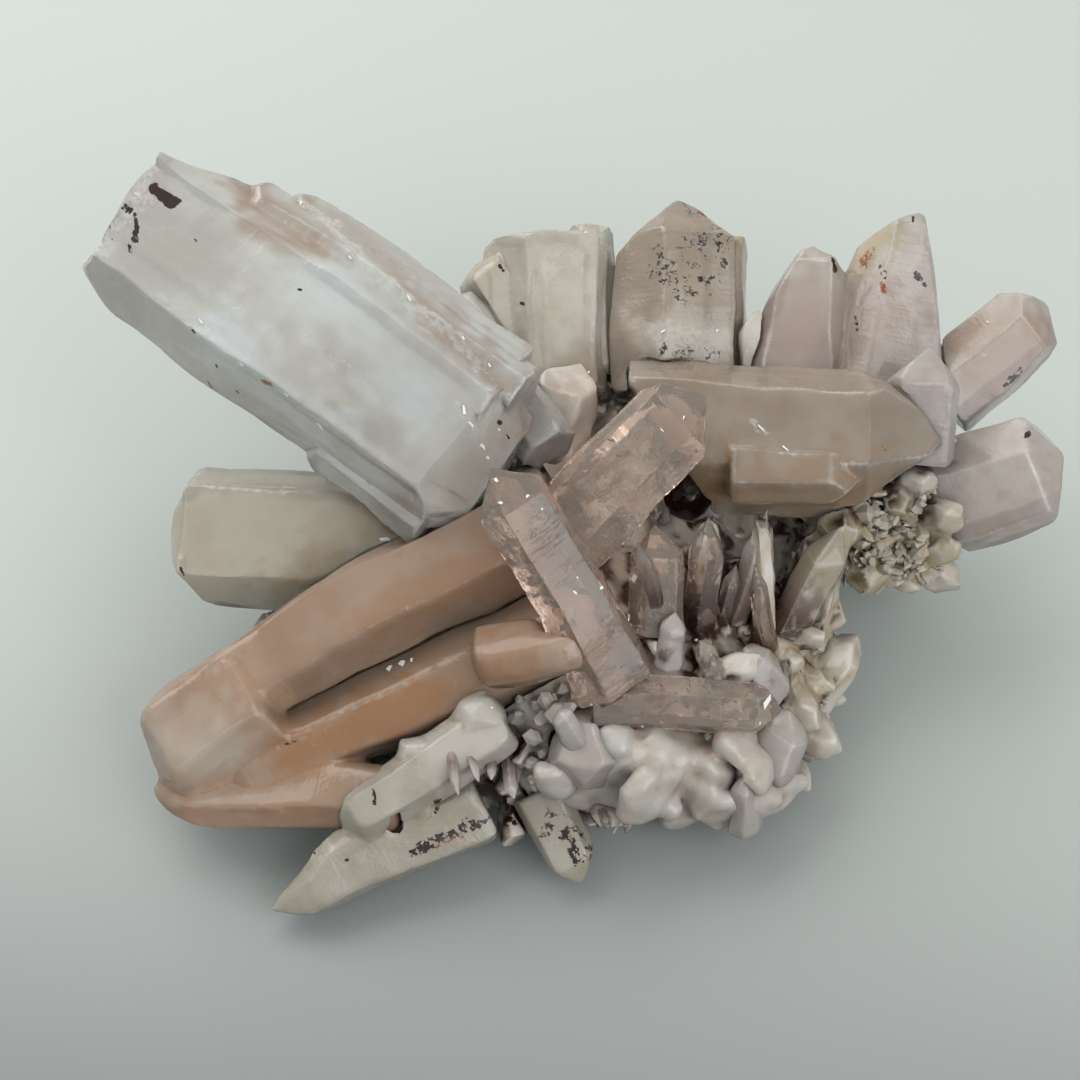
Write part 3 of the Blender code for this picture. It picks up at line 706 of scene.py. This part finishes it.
def soften(points, triangles, passes):  # rounds the edges: each pass moves a point towards its neighbours
    sides = np.concatenate([triangles[:, [0, 1]], triangles[:, [1, 2]], triangles[:, [2, 0]]])
    first, second = np.unique(np.sort(sides, axis=1), axis=0).T
    count = np.bincount(first, minlength=len(points)) + np.bincount(second, minlength=len(points))
    for _ in range(passes):
        total = np.zeros_like(points)
        for axis in range(3):
            total[:, axis] = np.bincount(first, points[second, axis], len(points))
            total[:, axis] += np.bincount(second, points[first, axis], len(points))
        points = (points + total / count[:, None]) / 2
    return points


def fineCopy(name, limit, strokes):  # a solid's mesh with its faces divided finely enough to carry relief
    bm = bmesh.new()
    bm.from_mesh(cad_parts[name].data)
    bmesh.ops.remove_doubles(bm, verts=bm.verts, dist=1e-6)
    bmesh.ops.dissolve_limit(bm, angle_limit=math.radians(0.3), verts=bm.verts, edges=bm.edges)
    bmesh.ops.triangulate(bm, faces=bm.faces)
    bm.verts.index_update()
    points = np.array([v.co for v in bm.verts])
    triangles = np.array([[v.index for v in f.verts] for f in bm.faces])
    bm.free()
    points, triangles = divideTriangles(points, triangles, limit, smallMarks(strokes))
    return points, triangles, *faceDirections(points, triangles)


def faceDirections(points, triangles):  # each point's outward direction, and how far it stands out or sinks in
    corners = points[triangles]
    across = np.cross(corners[:, 1] - corners[:, 0], corners[:, 2] - corners[:, 0])
    normals = np.zeros_like(points)
    around, reach, count = np.zeros_like(points), np.zeros(len(points)), np.zeros(len(points))
    for corner in range(3):
        here, there = triangles[:, corner], triangles[:, (corner + 1) % 3]
        np.add.at(normals, here, across)
        step = points[there] - points[here]
        np.add.at(around, here, step)
        np.add.at(reach, here, np.linalg.norm(step, axis=1))
        np.add.at(count, here, 1)
    normals /= np.maximum(np.linalg.norm(normals, axis=1, keepdims=True), 1e-18)
    bulge = -(around * normals).sum(axis=1) / np.maximum(reach, 1e-9)
    return normals, bulge


def formOf(points, normals, bulge, tree):  # painted highlight on convex edges, painted glow where the solid is thin, and painted shade in concave seams, as a colour to paint by
    form = np.zeros((len(points), 4), np.float32)
    form[:, 0] = np.clip(bulge * 5, 0, 1)
    form[:, 2] = np.clip(-bulge * 4, 0, 1)
    for i, (point, normal) in enumerate(zip(points, normals)):
        inward = Vector(-normal)
        far = tree.ray_cast(Vector(point) + inward * 0.05 * mm, inward)[3]
        form[i, 1] = math.exp(-(far or 0) / (6 * mm))
    return form


def finishMesh(points, triangles, name, material, slot, attributes, sharp=30):
    mesh = bpy.data.meshes.new(name)
    mesh.from_pydata(warp(points).tolist(), [], triangles.tolist())
    mesh.update()
    return placePiece(mesh, name, material, slot, attributes, sharp)


def placePiece(mesh, name, material, slot, attributes, sharp=30):
    mesh.shade_smooth()
    mesh.set_sharp_from_angle(angle=math.radians(sharp))
    for label, colours in (("tint", attributes["tint"][:, :4]), ("veil", attributes["tint"][:, 4:]),
                           ("form", attributes["form"])):
        layer = mesh.attributes.new(label, "FLOAT_COLOR", "POINT")
        layer.data.foreach_set("color", np.ascontiguousarray(colours, np.float32).ravel())
    grain = mesh.attributes.new("grain", "FLOAT_VECTOR", "POINT")
    grain.data.foreach_set("vector", attributes["grain"].astype(np.float32).ravel())
    mesh.materials.append(materials[material])
    piece = bpy.data.objects.new(name, mesh)
    bpy.context.scene.collection.objects.link(piece)
    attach(piece, "root")
    return piece


fineness = {"large": 1.1, "small": 0.8}  # longest edge of the fine meshes, in millimetres


def makeCrystal(name, look):
    small = max(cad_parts[name].dimensions) < 30 * mm
    limit = fineness["small" if small else "large"] * mm
    points, triangles, normals, bulge = fineCopy(name, limit, look["paint"])
    form = formOf(points, normals, bulge, surfaceTree([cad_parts[name]]))
    frames = grainFrames(look["axes"])
    grain, axis = grainOf(points, frames)
    onPrism = 1 - np.abs((normals * axis).sum(axis=1))
    steps = noiseAt(grain * (0.25, 0.25, 1), 900, 2)
    swell = noiseAt(points, 170, 1)
    moved = (steps * 0.55 * onPrism + swell) * look["ripple"] * mm
    moved += noiseAt(grain * (1, 1, 0.06), 560, 4) * onPrism * look.get("streaks", 0) * mm
    chipping = np.clip(noiseAt(points, 420, 3) * 1.8 + 0.35, 0.12, 1)
    moved -= form[:, 0] * chipping * look["chips"] * 0.5 * mm
    if "brokenEnd" in look:
        reach = np.max([np.linalg.norm(end - start) for start, end, _ in frames])
        atEnd = ((normals * axis).sum(axis=1) > 0.55) & (grain[:, 2] > reach * 0.8)
        steps = np.floor((noiseAt(points, look["stepScale"], 5) + 0.5) * 4) / 4
        rough = np.clip(steps + 0.35 * noiseAt(points, 900, 6), 0, 1.2)
        moved -= np.where(atEnd, rough * look["brokenEnd"] * mm, 0)
    tint = paintTint(points, look["paint"])
    shaped = soften(points + normals * moved[:, None], triangles, look.get("soft", 0))
    piece = finishMesh(shaped, triangles, name + "_faces", look["material"],
                       look["slot"], {"tint": tint, "grain": grain, "form": form})
    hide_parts(name)
    print(name, len(triangles), flush=True)
    return piece


for crystalName, crystalLook in crystals.items():
    makeCrystal(crystalName, crystalLook)
print("large crystals made")

# The bed under the crystals, and its crust
bedLook = {
    "edge": 1.25,
    "relief": 0.7,
    "soft": 5,
    "gapReach": 7,  # how near, in millimetres, other faces make a hollow
    "paint": [
        # the first two strokes paint shade into the cavity at the top of the hollow
        ("paintedShade", 8, 1.5, [(676, 488), (696, 496)]), ("paintedShade", 3.5, 0.8, [(640, 510), (662, 520)]),
        ("stain", 9, 1.0, [(800, 610), (815, 660), (830, 690)]), ("stain", 14, 1.3, [(830, 550), (940, 560)]),
        ("warm", 4, 0.6, [(700, 560), (660, 620)]), ("warm", 4, 0.5, [(760, 600), (740, 560)]),
        ("rust", 1.3, 1.3, [(564, 801), (570, 805)]), ("dark", 1.5, 1.05, [(500, 822), (560, 828), (640, 810)]),
        ("warm", 8, 0.5, [(560, 380), (620, 400)]),
    ],
    # painted shade in the hollow, at the right and along the lower edge, strongest where points are most closed in
    "gaps": [("paintedShade", 13, 4.6, [(680, 585), (755, 585)]), ("paintedShade", 9, 1.3, [(860, 540), (910, 530)]),
             ("paintedShade", 12, 1.2, [(470, 790), (560, 800)])],
}


def hollowness(points, normals):  # how closed in each point is, from 0 in the open to 1
    hidden = np.zeros(len(points))
    tilts = [Vector(t) for t in ((0, 0, 0), (0.8, 0, 0), (-0.8, 0, 0), (0, 0.8, 0), (0, -0.8, 0), (0, 0, 0.8))]
    for i, (point, normal) in enumerate(zip(points, normals)):
        out = Vector(normal)
        place = Vector(point) + out * 0.2 * mm
        for tilt in tilts:
            if wholeTree.ray_cast(place, out + tilt, bedLook["gapReach"] * mm)[0]:
                hidden[i] += 1 / len(tilts)
    return hidden


def makeBed():
    points, triangles, normals, bulge = fineCopy("druse_bed", bedLook["edge"] * mm, bedLook["paint"])
    form = formOf(points, normals, bulge, surfaceTree([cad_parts["druse_bed"]]))
    relief = noiseAt(points, 500, 7) + 0.6 * noiseAt(points, 1100, 8)
    standing = points[:, 2] > 0.4 * mm
    moved = np.where(standing, (relief - 0.5) * bedLook["relief"] * mm, 0)
    tint = paintTint(points, bedLook["paint"])
    gaps = paintTint(points, bedLook["gaps"])[:, channels["paintedShade"]]
    hollow = hollowness(points, normals)
    # painted shade: closed-in points within the gap strokes are darkened
    tint[:, channels["paintedShade"]] = np.maximum(tint[:, channels["paintedShade"]], np.clip(gaps * hollow * 2, 0, 1))
    shaped = soften(points + normals * moved[:, None], triangles, bedLook["soft"])
    piece = finishMesh(shaped, triangles, "druse_bed_faces", "druseQuartz",
                       "bed_quartz", {"tint": tint, "grain": points, "form": form})
    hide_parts("druse_bed")
    return piece


bed = makeBed()
print("bed made", len(bed.data.polygons))

crustLook = {
    "count": 1300,
    "length": (1.5, 3.8),
    "slimness": (0.6, 0.95),
    "lean": 0.25,
    "sunk": 0.45,  # how much of a point's length is in the bed
    "bare": [((730, 600), 21, 0.04), ((690, 790), 22, 0.05), ((520, 800), 12, 0.3)],  # pixel, radius, share kept
    "spiky": [  # patches of slimmer points: pixel, reach, count, lengths and slimness
        ((900, 560), 16, 420, (1.4, 4.2), (0.28, 0.5)), ((825, 660), 9, 160, (0.8, 2.2), (0.5, 0.9)),
        ((600, 815), 12, 90, (1.0, 3.0), (0.3, 0.6)), ((655, 510), 5, 60, (1.0, 2.4), (0.5, 0.8)),
    ],
}


lumps = [  # the massive quartz of the bed: middle and radii in millimetres, as the solid has them
    ((8, -2, 6), (35, 35, 24)), ((52, 14, 22), (14, 14, 11)), ((-20, -6, 10), (20, 22, 14)),
    ((37, -11, 10), (8, 15, 14)), ((16, 22, 16), (34, 18, 18)),
]


def onLump(place):
    reach = [sum(((p / mm - c) / r) ** 2 for p, c, r in zip(place, middle, radii)) for middle, radii in lumps]
    return min(reach) < 1.2


def pointMesh(rng):  # a six-sided prism with a six-faced tip, one unit long
    turn = rng.uniform(0, math.pi)
    reach = [rng.uniform(0.75, 1.1) for _ in range(6)]
    ring = [(math.cos(turn + k * math.pi / 3) * r, math.sin(turn + k * math.pi / 3) * r) for k, r in enumerate(reach)]
    shoulder = rng.uniform(0.66, 0.82)
    verts = [(x, y, 0) for x, y in ring]
    verts += [(x * 0.96, y * 0.96, shoulder + rng.uniform(-0.06, 0.06)) for x, y in ring]
    verts.append((rng.uniform(-0.2, 0.2), rng.uniform(-0.2, 0.2), 1))
    faces = [(k, (k + 1) % 6, 6 + (k + 1) % 6, 6 + k) for k in range(6)]
    faces += [(6 + k, 6 + (k + 1) % 6, 12) for k in range(6)]
    faces.append((5, 4, 3, 2, 1, 0))
    return np.array(verts), faces


def plantPoints(rng, patch, made):  # grows points on a patch of the bed: its middle and reach, or all of it
    middle, reach, count, lengths, slimness = patch
    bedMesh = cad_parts["druse_bed"].data
    bedMesh.calc_loop_triangles()
    triangles = [t for t in bedMesh.loop_triangles if t.area > 0 and (t.center - middle).length < reach]
    total = np.cumsum([t.area for t in triangles])
    low, high = cadBox
    bare = [(onSurface(*pixel), radius * mm, share) for pixel, radius, share in crustLook["bare"]]
    wanted = made["count"] + count
    for _ in range(count * 5):
        if made["count"] >= wanted:
            break
        triangle = triangles[int(np.searchsorted(total, rng.random() * total[-1]))]
        a, b, c = (bedMesh.vertices[i].co for i in triangle.vertices)
        u, v = rng.random(), rng.random()
        if u + v > 1:
            u, v = 1 - u, 1 - v
        place = a + (b - a) * u + (c - a) * v
        normal = triangle.normal
        lean = Vector([rng.gauss(0, crustLook["lean"]) for _ in range(3)])
        direction = (normal + lean).normalized()
        length = rng.uniform(*lengths) * mm
        width = length * rng.uniform(*slimness)
        if any((place - spot).length < radius and rng.random() > share for spot, radius, share in bare):
            continue
        tip = place + direction * length * (1 - crustLook["sunk"])
        if min(tip.z, place.z) < 1.5 * mm or normal.z < -0.85 or not onLump(place):
            continue
        if any(tip[i] < low[i] + 0.3 * mm or tip[i] > high[i] - 0.3 * mm for i in range(3)):
            continue
        near, nearNormal, _, distance = othersTree.find_nearest(tip)
        if (tip - near).dot(nearNormal) < 0.3 * mm and distance < 8 * mm:
            continue
        shape, shapeFaces = pointMesh(rng)
        turn = direction.to_track_quat("Z", "Y").to_matrix()
        base = len(made["verts"])
        for x, y, z in shape:
            local = Vector((x * width / 2, y * width / 2, (z - crustLook["sunk"]) * length))
            made["verts"].append(place + turn @ local)
            made["grains"].append(local)
            # painted highlight near the tip and painted glow growing towards it
            made["forms"].append((0.35 if z > 0.5 else 0, z * z, 0, 0))
        made["faces"] += [tuple(base + i for i in f) for f in shapeFaces]
        made["count"] += 1


def makeCrust():
    rng = random.Random(5)
    made = {"verts": [], "faces": [], "grains": [], "forms": [], "count": 0}
    plantPoints(rng, (Vector(), 1, crustLook["count"], crustLook["length"], crustLook["slimness"]), made)
    for pixel, reach, count, lengths, slimness in crustLook["spiky"]:
        plantPoints(rng, (onSurface(*pixel), reach * mm, count, lengths, slimness), made)
    mesh = bpy.data.meshes.new("druse_points")
    points = np.array([tuple(v) for v in made["verts"]])
    mesh.from_pydata(warp(points).tolist(), [], made["faces"])
    mesh.update()
    tint = paintTint(points, bedLook["paint"])
    return placePiece(mesh, "druse_points", "druseQuartz", "bed_quartz",
                      {"tint": tint, "grain": np.array([tuple(g) for g in made["grains"]]) + points,
                       "form": np.array(made["forms"])})


othersTree = surfaceTree([o for n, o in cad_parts.items() if n != "druse_bed"])

makeCrust()
print("crust made")

# Small crystals that can be told apart in the hollow and along the lower edge: width in millimetres, the
# pixels of the root and the tip, how far the tip stands nearer to the viewer, and how rounded it is
smallCrystals = {
    "clear": [
        (6.4, (700, 596), (712, 512), 6, 4), (3.6, (768, 636), (752, 556), 5, 1), (3.0, (648, 585), (634, 538), 4, 1),
        (4.6, (712, 676), (694, 636), 3, 1), (3.2, (722, 610), (735, 560), 3, 1), (2.0, (788, 690), (785, 655), 3, 1),
        (4.2, (820, 600), (828, 560), 3, 2), (2.2, (630, 812), (622, 834), 2, 1), (1.8, (600, 816), (604, 830), 2, 1),
    ],
    "lilac": [
        (5.4, (738, 612), (772, 506), 5, 4), (8.5, (800, 600), (842, 520), 3, 4), (8.0, (770, 676), (738, 642), 3, 4),
        (6.4, (744, 812), (746, 762), 4, 12), (5.0, (664, 655), (670, 606), 3, 6), (4.0, (572, 735), (556, 704), 3, 8),
        (1.9, (452, 762), (457, 797), 2.5, 2), (1.5, (470, 760), (478, 782), 2, 2), (2.4, (505, 764), (511, 800), 2.5, 2),
        (2.0, (488, 762), (490, 780), 2, 2), (2.6, (528, 770), (532, 792), 2, 2), (11, (776, 750), (796, 704), 3, 30),
    ],
    "lump": [
        (13, (655, 760), (685, 748), 3, 16), (14, (700, 785), (724, 768), 3, 16), (13, (640, 795), (652, 812), 2, 16),
        (13, (690, 795), (702, 815), 2, 14), (11, (752, 795), (760, 815), 1, 14), (11, (600, 790), (596, 808), 2, 14),
        (14, (625, 770), (632, 786), 3, 16), (12, (705, 760), (716, 745), 2, 12), (11, (730, 742), (742, 728), 2, 10),
        (10, (552, 775), (548, 795), 2, 12), (10, (668, 742), (680, 732), 2, 10), (11, (778, 785), (788, 800), 1, 12),
        (9, (525, 775), (520, 790), 1, 10), (8, (575, 795), (570, 812), 1, 10), (9, (725, 805), (728, 818), 1, 10),
        (9, (755, 765), (770, 760), 2, 10), (7, (612, 745), (622, 735), 2, 8), (6, (665, 800), (668, 822), 2, 8),
    ],
}


def placedCrystal(rng, width, root, tip, lift, passes):
    _, toViewer, _ = viewAxes()
    foot = onSurface(*root)
    depth = foot.dot(toViewer) + lift * mm
    eye, ray = sightOf(*tip)
    top = eye + ray * ((depth - eye.dot(toViewer)) / ray.dot(toViewer))
    along = top - foot
    foot = foot - along * 0.35
    shape, faces = pointMesh(rng)
    turn = along.to_track_quat("Z", "Y").to_matrix()
    length = (top - foot).length
    points = np.array([foot + turn @ Vector((x * width * mm / 2, y * width * mm / 2, z * length)) for x, y, z in shape])
    triangles = np.array([[f[0], f[k], f[k + 1]] for f in faces for k in range(1, len(f) - 1)])
    points, triangles = divideTriangles(points, triangles, 0.7 * mm)
    normals, bulge = faceDirections(points, triangles)
    form = np.zeros((len(points), 4), np.float32)
    # painted highlight on the edges, painted glow by thinness, and painted shade towards the root
    form[:, 0] = np.clip(bulge * 5, 0, 1)
    form[:, 1] = math.exp(-width / 14)
    rise = (points - np.array(foot)) @ np.array(along) / (length * along.length)
    form[:, 2] = np.clip(1.3 - 1.6 * rise, 0, 1)
    swell = (noiseAt(points, 240, 4) + 0.5 * noiseAt(points, 600, 5)) * min(passes, 20) * 0.08 * mm
    points = soften(points + normals * swell[:, None], triangles, passes)
    return points, triangles, form, points - np.array(foot)


def fuse(points, triangles, voxel):  # one skin round shapes that overlap, as massive quartz has
    mesh = bpy.data.meshes.new("loose")
    mesh.from_pydata(points.tolist(), [], triangles.tolist())
    holder = bpy.data.objects.new("loose", mesh)
    bpy.context.scene.collection.objects.link(holder)
    skin = holder.modifiers.new("skin", "REMESH")
    skin.mode = "VOXEL"
    skin.voxel_size = voxel
    fused = bpy.data.meshes.new_from_object(holder.evaluated_get(bpy.context.evaluated_depsgraph_get()))
    fused.calc_loop_triangles()
    points = np.array([v.co for v in fused.vertices])
    triangles = np.array([t.vertices for t in fused.loop_triangles])
    bpy.data.objects.remove(holder)
    bpy.data.meshes.remove(mesh)
    bpy.data.meshes.remove(fused)
    return points, triangles


def fusedLumps(points, triangles):  # the lumps' skin with worn relief, and its edges and seams as a form: painted highlight on the edges, an even painted glow, and painted shade in the seams
    points, triangles = fuse(points, triangles, 0.55 * mm)
    normals, _ = faceDirections(points, triangles)
    relief = noiseAt(points, 330, 6) + 0.6 * noiseAt(points, 800, 7)
    points = soften(points + normals * relief[:, None] * 0.5 * mm, triangles, 4)
    normals, bulge = faceDirections(points, triangles)
    form = np.zeros((len(points), 4), np.float32)
    form[:, 0] = np.clip(bulge * 7, 0, 1)
    form[:, 1] = 0.45
    form[:, 2] = np.clip(-bulge * 9, 0, 1)
    return points, triangles, form


def makeSmallCrystals():
    for kind, rows in smallCrystals.items():
        rng = random.Random(21)
        pointSets, triangleSets, formSets, grainSets, base = [], [], [], [], 0
        for row in rows:
            points, triangles, form, grain = placedCrystal(rng, *row)
            pointSets.append(points)
            triangleSets.append(triangles + base)
            formSets.append(form)
            grainSets.append(grain)
            base += len(points)
        points, triangles = np.concatenate(pointSets), np.concatenate(triangleSets)
        grain, form = np.concatenate(grainSets), np.concatenate(formSets)
        tint = paintTint(points, bedLook["paint"])
        inGaps = np.clip(paintTint(points, bedLook["gaps"])[:, channels["paintedShade"]], 0, 1)
        form[:, 2] *= inGaps
        # painted shade: small crystals standing in the gaps darken towards their roots
        tint[:, channels["paintedShade"]] = np.maximum(tint[:, channels["paintedShade"]], form[:, 2] ** 2 * 0.85)
        if kind == "lump":
            points, triangles, form = fusedLumps(points, triangles)
            grain, tint = points, paintTint(points, bedLook["paint"])
        finishMesh(points, triangles, kind + "_small_crystals", kind + "Quartz", "bed_quartz",
                   {"tint": tint, "grain": grain, "form": form})
        print(kind, len(triangles), flush=True)


makeSmallCrystals()
print("small crystals made")

# Painted glints: little near-white cleavage faces laid where the cluster flashes white, tilted towards the viewer:
# pixel, width, height, turn in degrees
paintedGlintFacets = [
    (382, 543, 3.2, 1.6, 20), (393, 669, 2.0, 1.6, -20), (405, 664, 1.6, 1.8, -30), (414, 661, 1.2, 1.2, 0),
    (630, 575, 1.3, 2.4, 5), (691, 638, 0.9, 1.6, 0), (709, 659, 1.8, 1.9, 40), (785, 667, 0.9, 2.2, 8),
    (766, 700, 4.0, 2.2, 30), (464, 405, 0.9, 2.4, 15), (470, 418, 0.8, 2.2, 20), (480, 440, 1.1, 3.0, 25),
    (486, 452, 0.9, 1.8, 10), (498, 424, 0.7, 1.6, 30), (531, 492, 1.0, 0.7, 30), (543, 505, 0.8, 0.6, 10),
    (575, 575, 0.7, 1.0, 30), (598, 586, 0.8, 0.8, 20), (572, 590, 0.6, 1.4, 30), (500, 478, 0.8, 1.2, 30),
    (505, 500, 0.6, 1.6, 60), (697, 562, 0.9, 0.5, 0), (690, 568, 1.4, 0.6, 10), (711, 541, 0.8, 0.6, 40),
    (680, 420, 1.3, 0.5, 30), (660, 432, 1.6, 0.4, -30), (612, 440, 1.8, 0.5, -35), (765, 427, 2.6, 0.5, -40),
    (790, 446, 2.4, 0.5, -35), (300, 205, 1.6, 0.6, -40), (350, 262, 1.5, 0.5, -45), (410, 300, 1.8, 0.5, -45),
    (462, 335, 1.2, 0.6, -50), (490, 362, 1.2, 0.8, -50), (205, 320, 1.6, 0.5, -40), (320, 425, 2.6, 0.5, -35),
    (288, 395, 1.4, 0.5, -30), (245, 365, 1.2, 0.5, -40), (585, 230, 0.8, 0.5, 0), (592, 372, 0.6, 0.6, 20),
    (968, 312, 1.8, 0.5, 20), (985, 322, 1.2, 0.4, 30), (665, 330, 1.4, 0.6, 10), (720, 330, 1.0, 0.6, 30),
    (598, 800, 0.5, 0.4, 0), (640, 730, 0.8, 0.4, 0), (590, 705, 0.7, 0.4, 20), (488, 705, 0.6, 0.5, 0),
]


def makePaintedGlintFacets():
    rng = random.Random(4)
    _, toViewer, _ = viewAxes()
    verts, faces = [], []
    for px, py, width, height, angle in paintedGlintFacets:
        eye, ray = sightOf(px, py)
        place, normal, _, _ = wholeTree.ray_cast(eye, ray)
        if place is None:
            continue
        facing = (normal + toViewer * 0.4).normalized()
        side = Vector((0, 0, 1)).cross(facing).normalized()
        up = facing.cross(side)
        spin = math.radians(angle)
        base, corners = len(verts), 4
        verts += [place + facing * 0.2 * mm, place - facing * 0.5 * mm]
        for k in range(corners):
            a = 2 * math.pi * k / corners + math.pi / 4
            x = math.cos(a) * width * 0.45 * rng.uniform(0.4, 1.1)
            y = math.sin(a) * height * 0.4 * rng.uniform(0.4, 1.1)
            across, upward = x * math.cos(spin) - y * math.sin(spin), x * math.sin(spin) + y * math.cos(spin)
            verts.append(place + (side * across + up * upward) * mm + facing * 0.15 * mm)
        for k in range(corners):
            first, second = base + 2 + k, base + 2 + (k + 1) % corners
            faces += [(base, first, second), (base + 1, second, first)]
    points = np.array([tuple(v) for v in verts])
    plain = np.zeros((len(points), len(channels)), np.float32)
    mesh = bpy.data.meshes.new("painted_glint_facets")
    mesh.from_pydata(warp(points).tolist(), [], faces)
    mesh.update()
    placePiece(mesh, "painted_glint_facets", "paintedGlintQuartz", "clear_quartz",
               {"tint": plain, "grain": points, "form": plain[:, :4]})


makePaintedGlintFacets()
print("bright facets made")

veilLook = {
    "count": 110,
    "radius": (0.4, 2.2),
    "thickness": 0.04,
}


def makeVeils():  # healed cracks inside the clear crystals: thin lenses that catch the light
    rng = random.Random(8)
    verts, faces, place = [], [], 0
    clear = [name for name, look in crystals.items() if look["material"] == "clearQuartz"]
    for i in range(veilLook["count"]):
        name = clear[i % len(clear)]
        tree = surfaceTree([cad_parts[name]])
        low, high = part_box(name)
        radius = rng.uniform(*veilLook["radius"]) * mm
        for _ in range(400):
            centre = Vector([rng.uniform(a, b) for a, b in zip(low, high)])
            near, normal, _, distance = tree.find_nearest(centre)
            if (near - centre).dot(normal) > 0 and distance > 0.5 * mm:
                break
        else:
            continue
        radius = min(radius, distance * 0.85)
        facing = Vector([rng.gauss(0, 1) for _ in range(3)]).normalized()
        turn = facing.to_track_quat("Z", "Y").to_matrix()
        base, sides = len(verts), 9
        for lift in (1, -1):
            verts.append(centre + facing * lift * veilLook["thickness"] * mm)
        for k in range(sides):
            angle = 2 * math.pi * k / sides
            reach = radius * rng.uniform(0.6, 1)
            verts.append(centre + turn @ Vector((math.cos(angle) * reach, math.sin(angle) * reach * 0.7, 0)))
        for k in range(sides):
            first, second = base + 2 + k, base + 2 + (k + 1) % sides
            faces += [(base, first, second), (base + 1, second, first)]
    mesh = bpy.data.meshes.new("inner_veils")
    points = np.array([tuple(v) for v in verts])
    mesh.from_pydata(warp(points).tolist(), [], faces)
    mesh.update()
    plain = np.zeros((len(points), len(channels)), np.float32)
    return placePiece(mesh, "inner_veils", "clearQuartz", "clear_quartz",
                      {"tint": plain, "grain": points, "form": plain[:, :4]})


makeVeils()
print("veils made")

stage = {
    "farLitColour": (0.515, 0.553, 0.53),
    "nearShadedColour": (0.165, 0.167, 0.184),
    "sky": (0.90, 0.92, 0.88),
    "skyStrength": 0.665,
    "keyPower": 5.6,
    "fillPower": 2.25,
}


def makeStage():
    bpy.ops.mesh.primitive_plane_add(size=6)
    floor = bpy.context.object
    floor.name = "floor"
    material = bpy.data.materials.new("paleTable")
    material.use_nodes = True
    nodes, links = material.node_tree.nodes, material.node_tree.links
    shader = nodes["Principled BSDF"]
    place = newNode(nodes, "ShaderNodeTexCoord").outputs["Object"]
    split = newNode(nodes, "ShaderNodeSeparateXYZ")
    links.new(place, split.inputs[0])
    # painted shade: the table darkens towards the near edge and a little to the left, standing in for the light's
    # falloff
    slant = math2(nodes, links, "MULTIPLY", split.outputs["X"], 0.15)
    fade = ramp(nodes, links, math2(nodes, links, "ADD", split.outputs["Y"], slant), -0.14, 0.03)
    colour = mixColour(nodes, links, fade, stage["nearShadedColour"], stage["farLitColour"])
    links.new(colour, shader.inputs["Base Color"])
    shader.inputs["Roughness"].default_value = 0.5
    floor.data.materials.append(material)
    world = bpy.data.worlds.new("sky")
    bpy.context.scene.world = world
    world.use_nodes = True
    background = world.node_tree.nodes["Background"]
    background.inputs[0].default_value = (*stage["sky"], 1)
    background.inputs[1].default_value = stage["skyStrength"]
    addLight("window", (-0.35, 0.45, 0.55), 0.95, stage["keyPower"], (1.0, 0.99, 0.97))
    addLight("room", (0.42, -0.42, 0.42), 0.6, stage["fillPower"], (0.95, 0.97, 1.0))


def addLight(name, place, size, power, colour):
    light = bpy.data.lights.new(name, "AREA")
    light.size = size
    light.energy = power
    light.color = colour
    lamp = bpy.data.objects.new(name, light)
    lamp.location = place
    lamp.rotation_mode = "QUATERNION"
    lamp.rotation_quaternion = (Vector(place) - Vector((0, 0, 0.03))).to_track_quat("Z", "Y")
    bpy.context.scene.collection.objects.link(lamp)


def makeCamera():
    centre, toViewer, _ = viewAxes()
    data = bpy.data.cameras.new("camera")
    camera = bpy.data.objects.new("camera", data)
    bpy.context.scene.collection.objects.link(camera)
    camera.location = centre + toViewer * photoView["distance"]
    camera.rotation_mode = "QUATERNION"
    camera.rotation_quaternion = toViewer.to_track_quat("Z", "Y")
    data.lens = data.sensor_width * photoView["distance"] / photoView["frameWidth"]
    data.clip_start, data.clip_end = 0.01, 10
    bpy.context.scene.camera = camera


makeStage()
makeCamera()
bpy.context.scene.view_settings.view_transform = "Standard"
bpy.context.scene.cycles.max_bounces = 3
bpy.context.scene.cycles.transmission_bounces = 3
bpy.context.scene.cycles.diffuse_bounces = 0
bpy.context.scene.cycles.glossy_bounces = 2
bpy.context.scene.cycles.transparent_max_bounces = 3
bpy.context.scene.cycles.caustics_reflective = False
print("stage set")
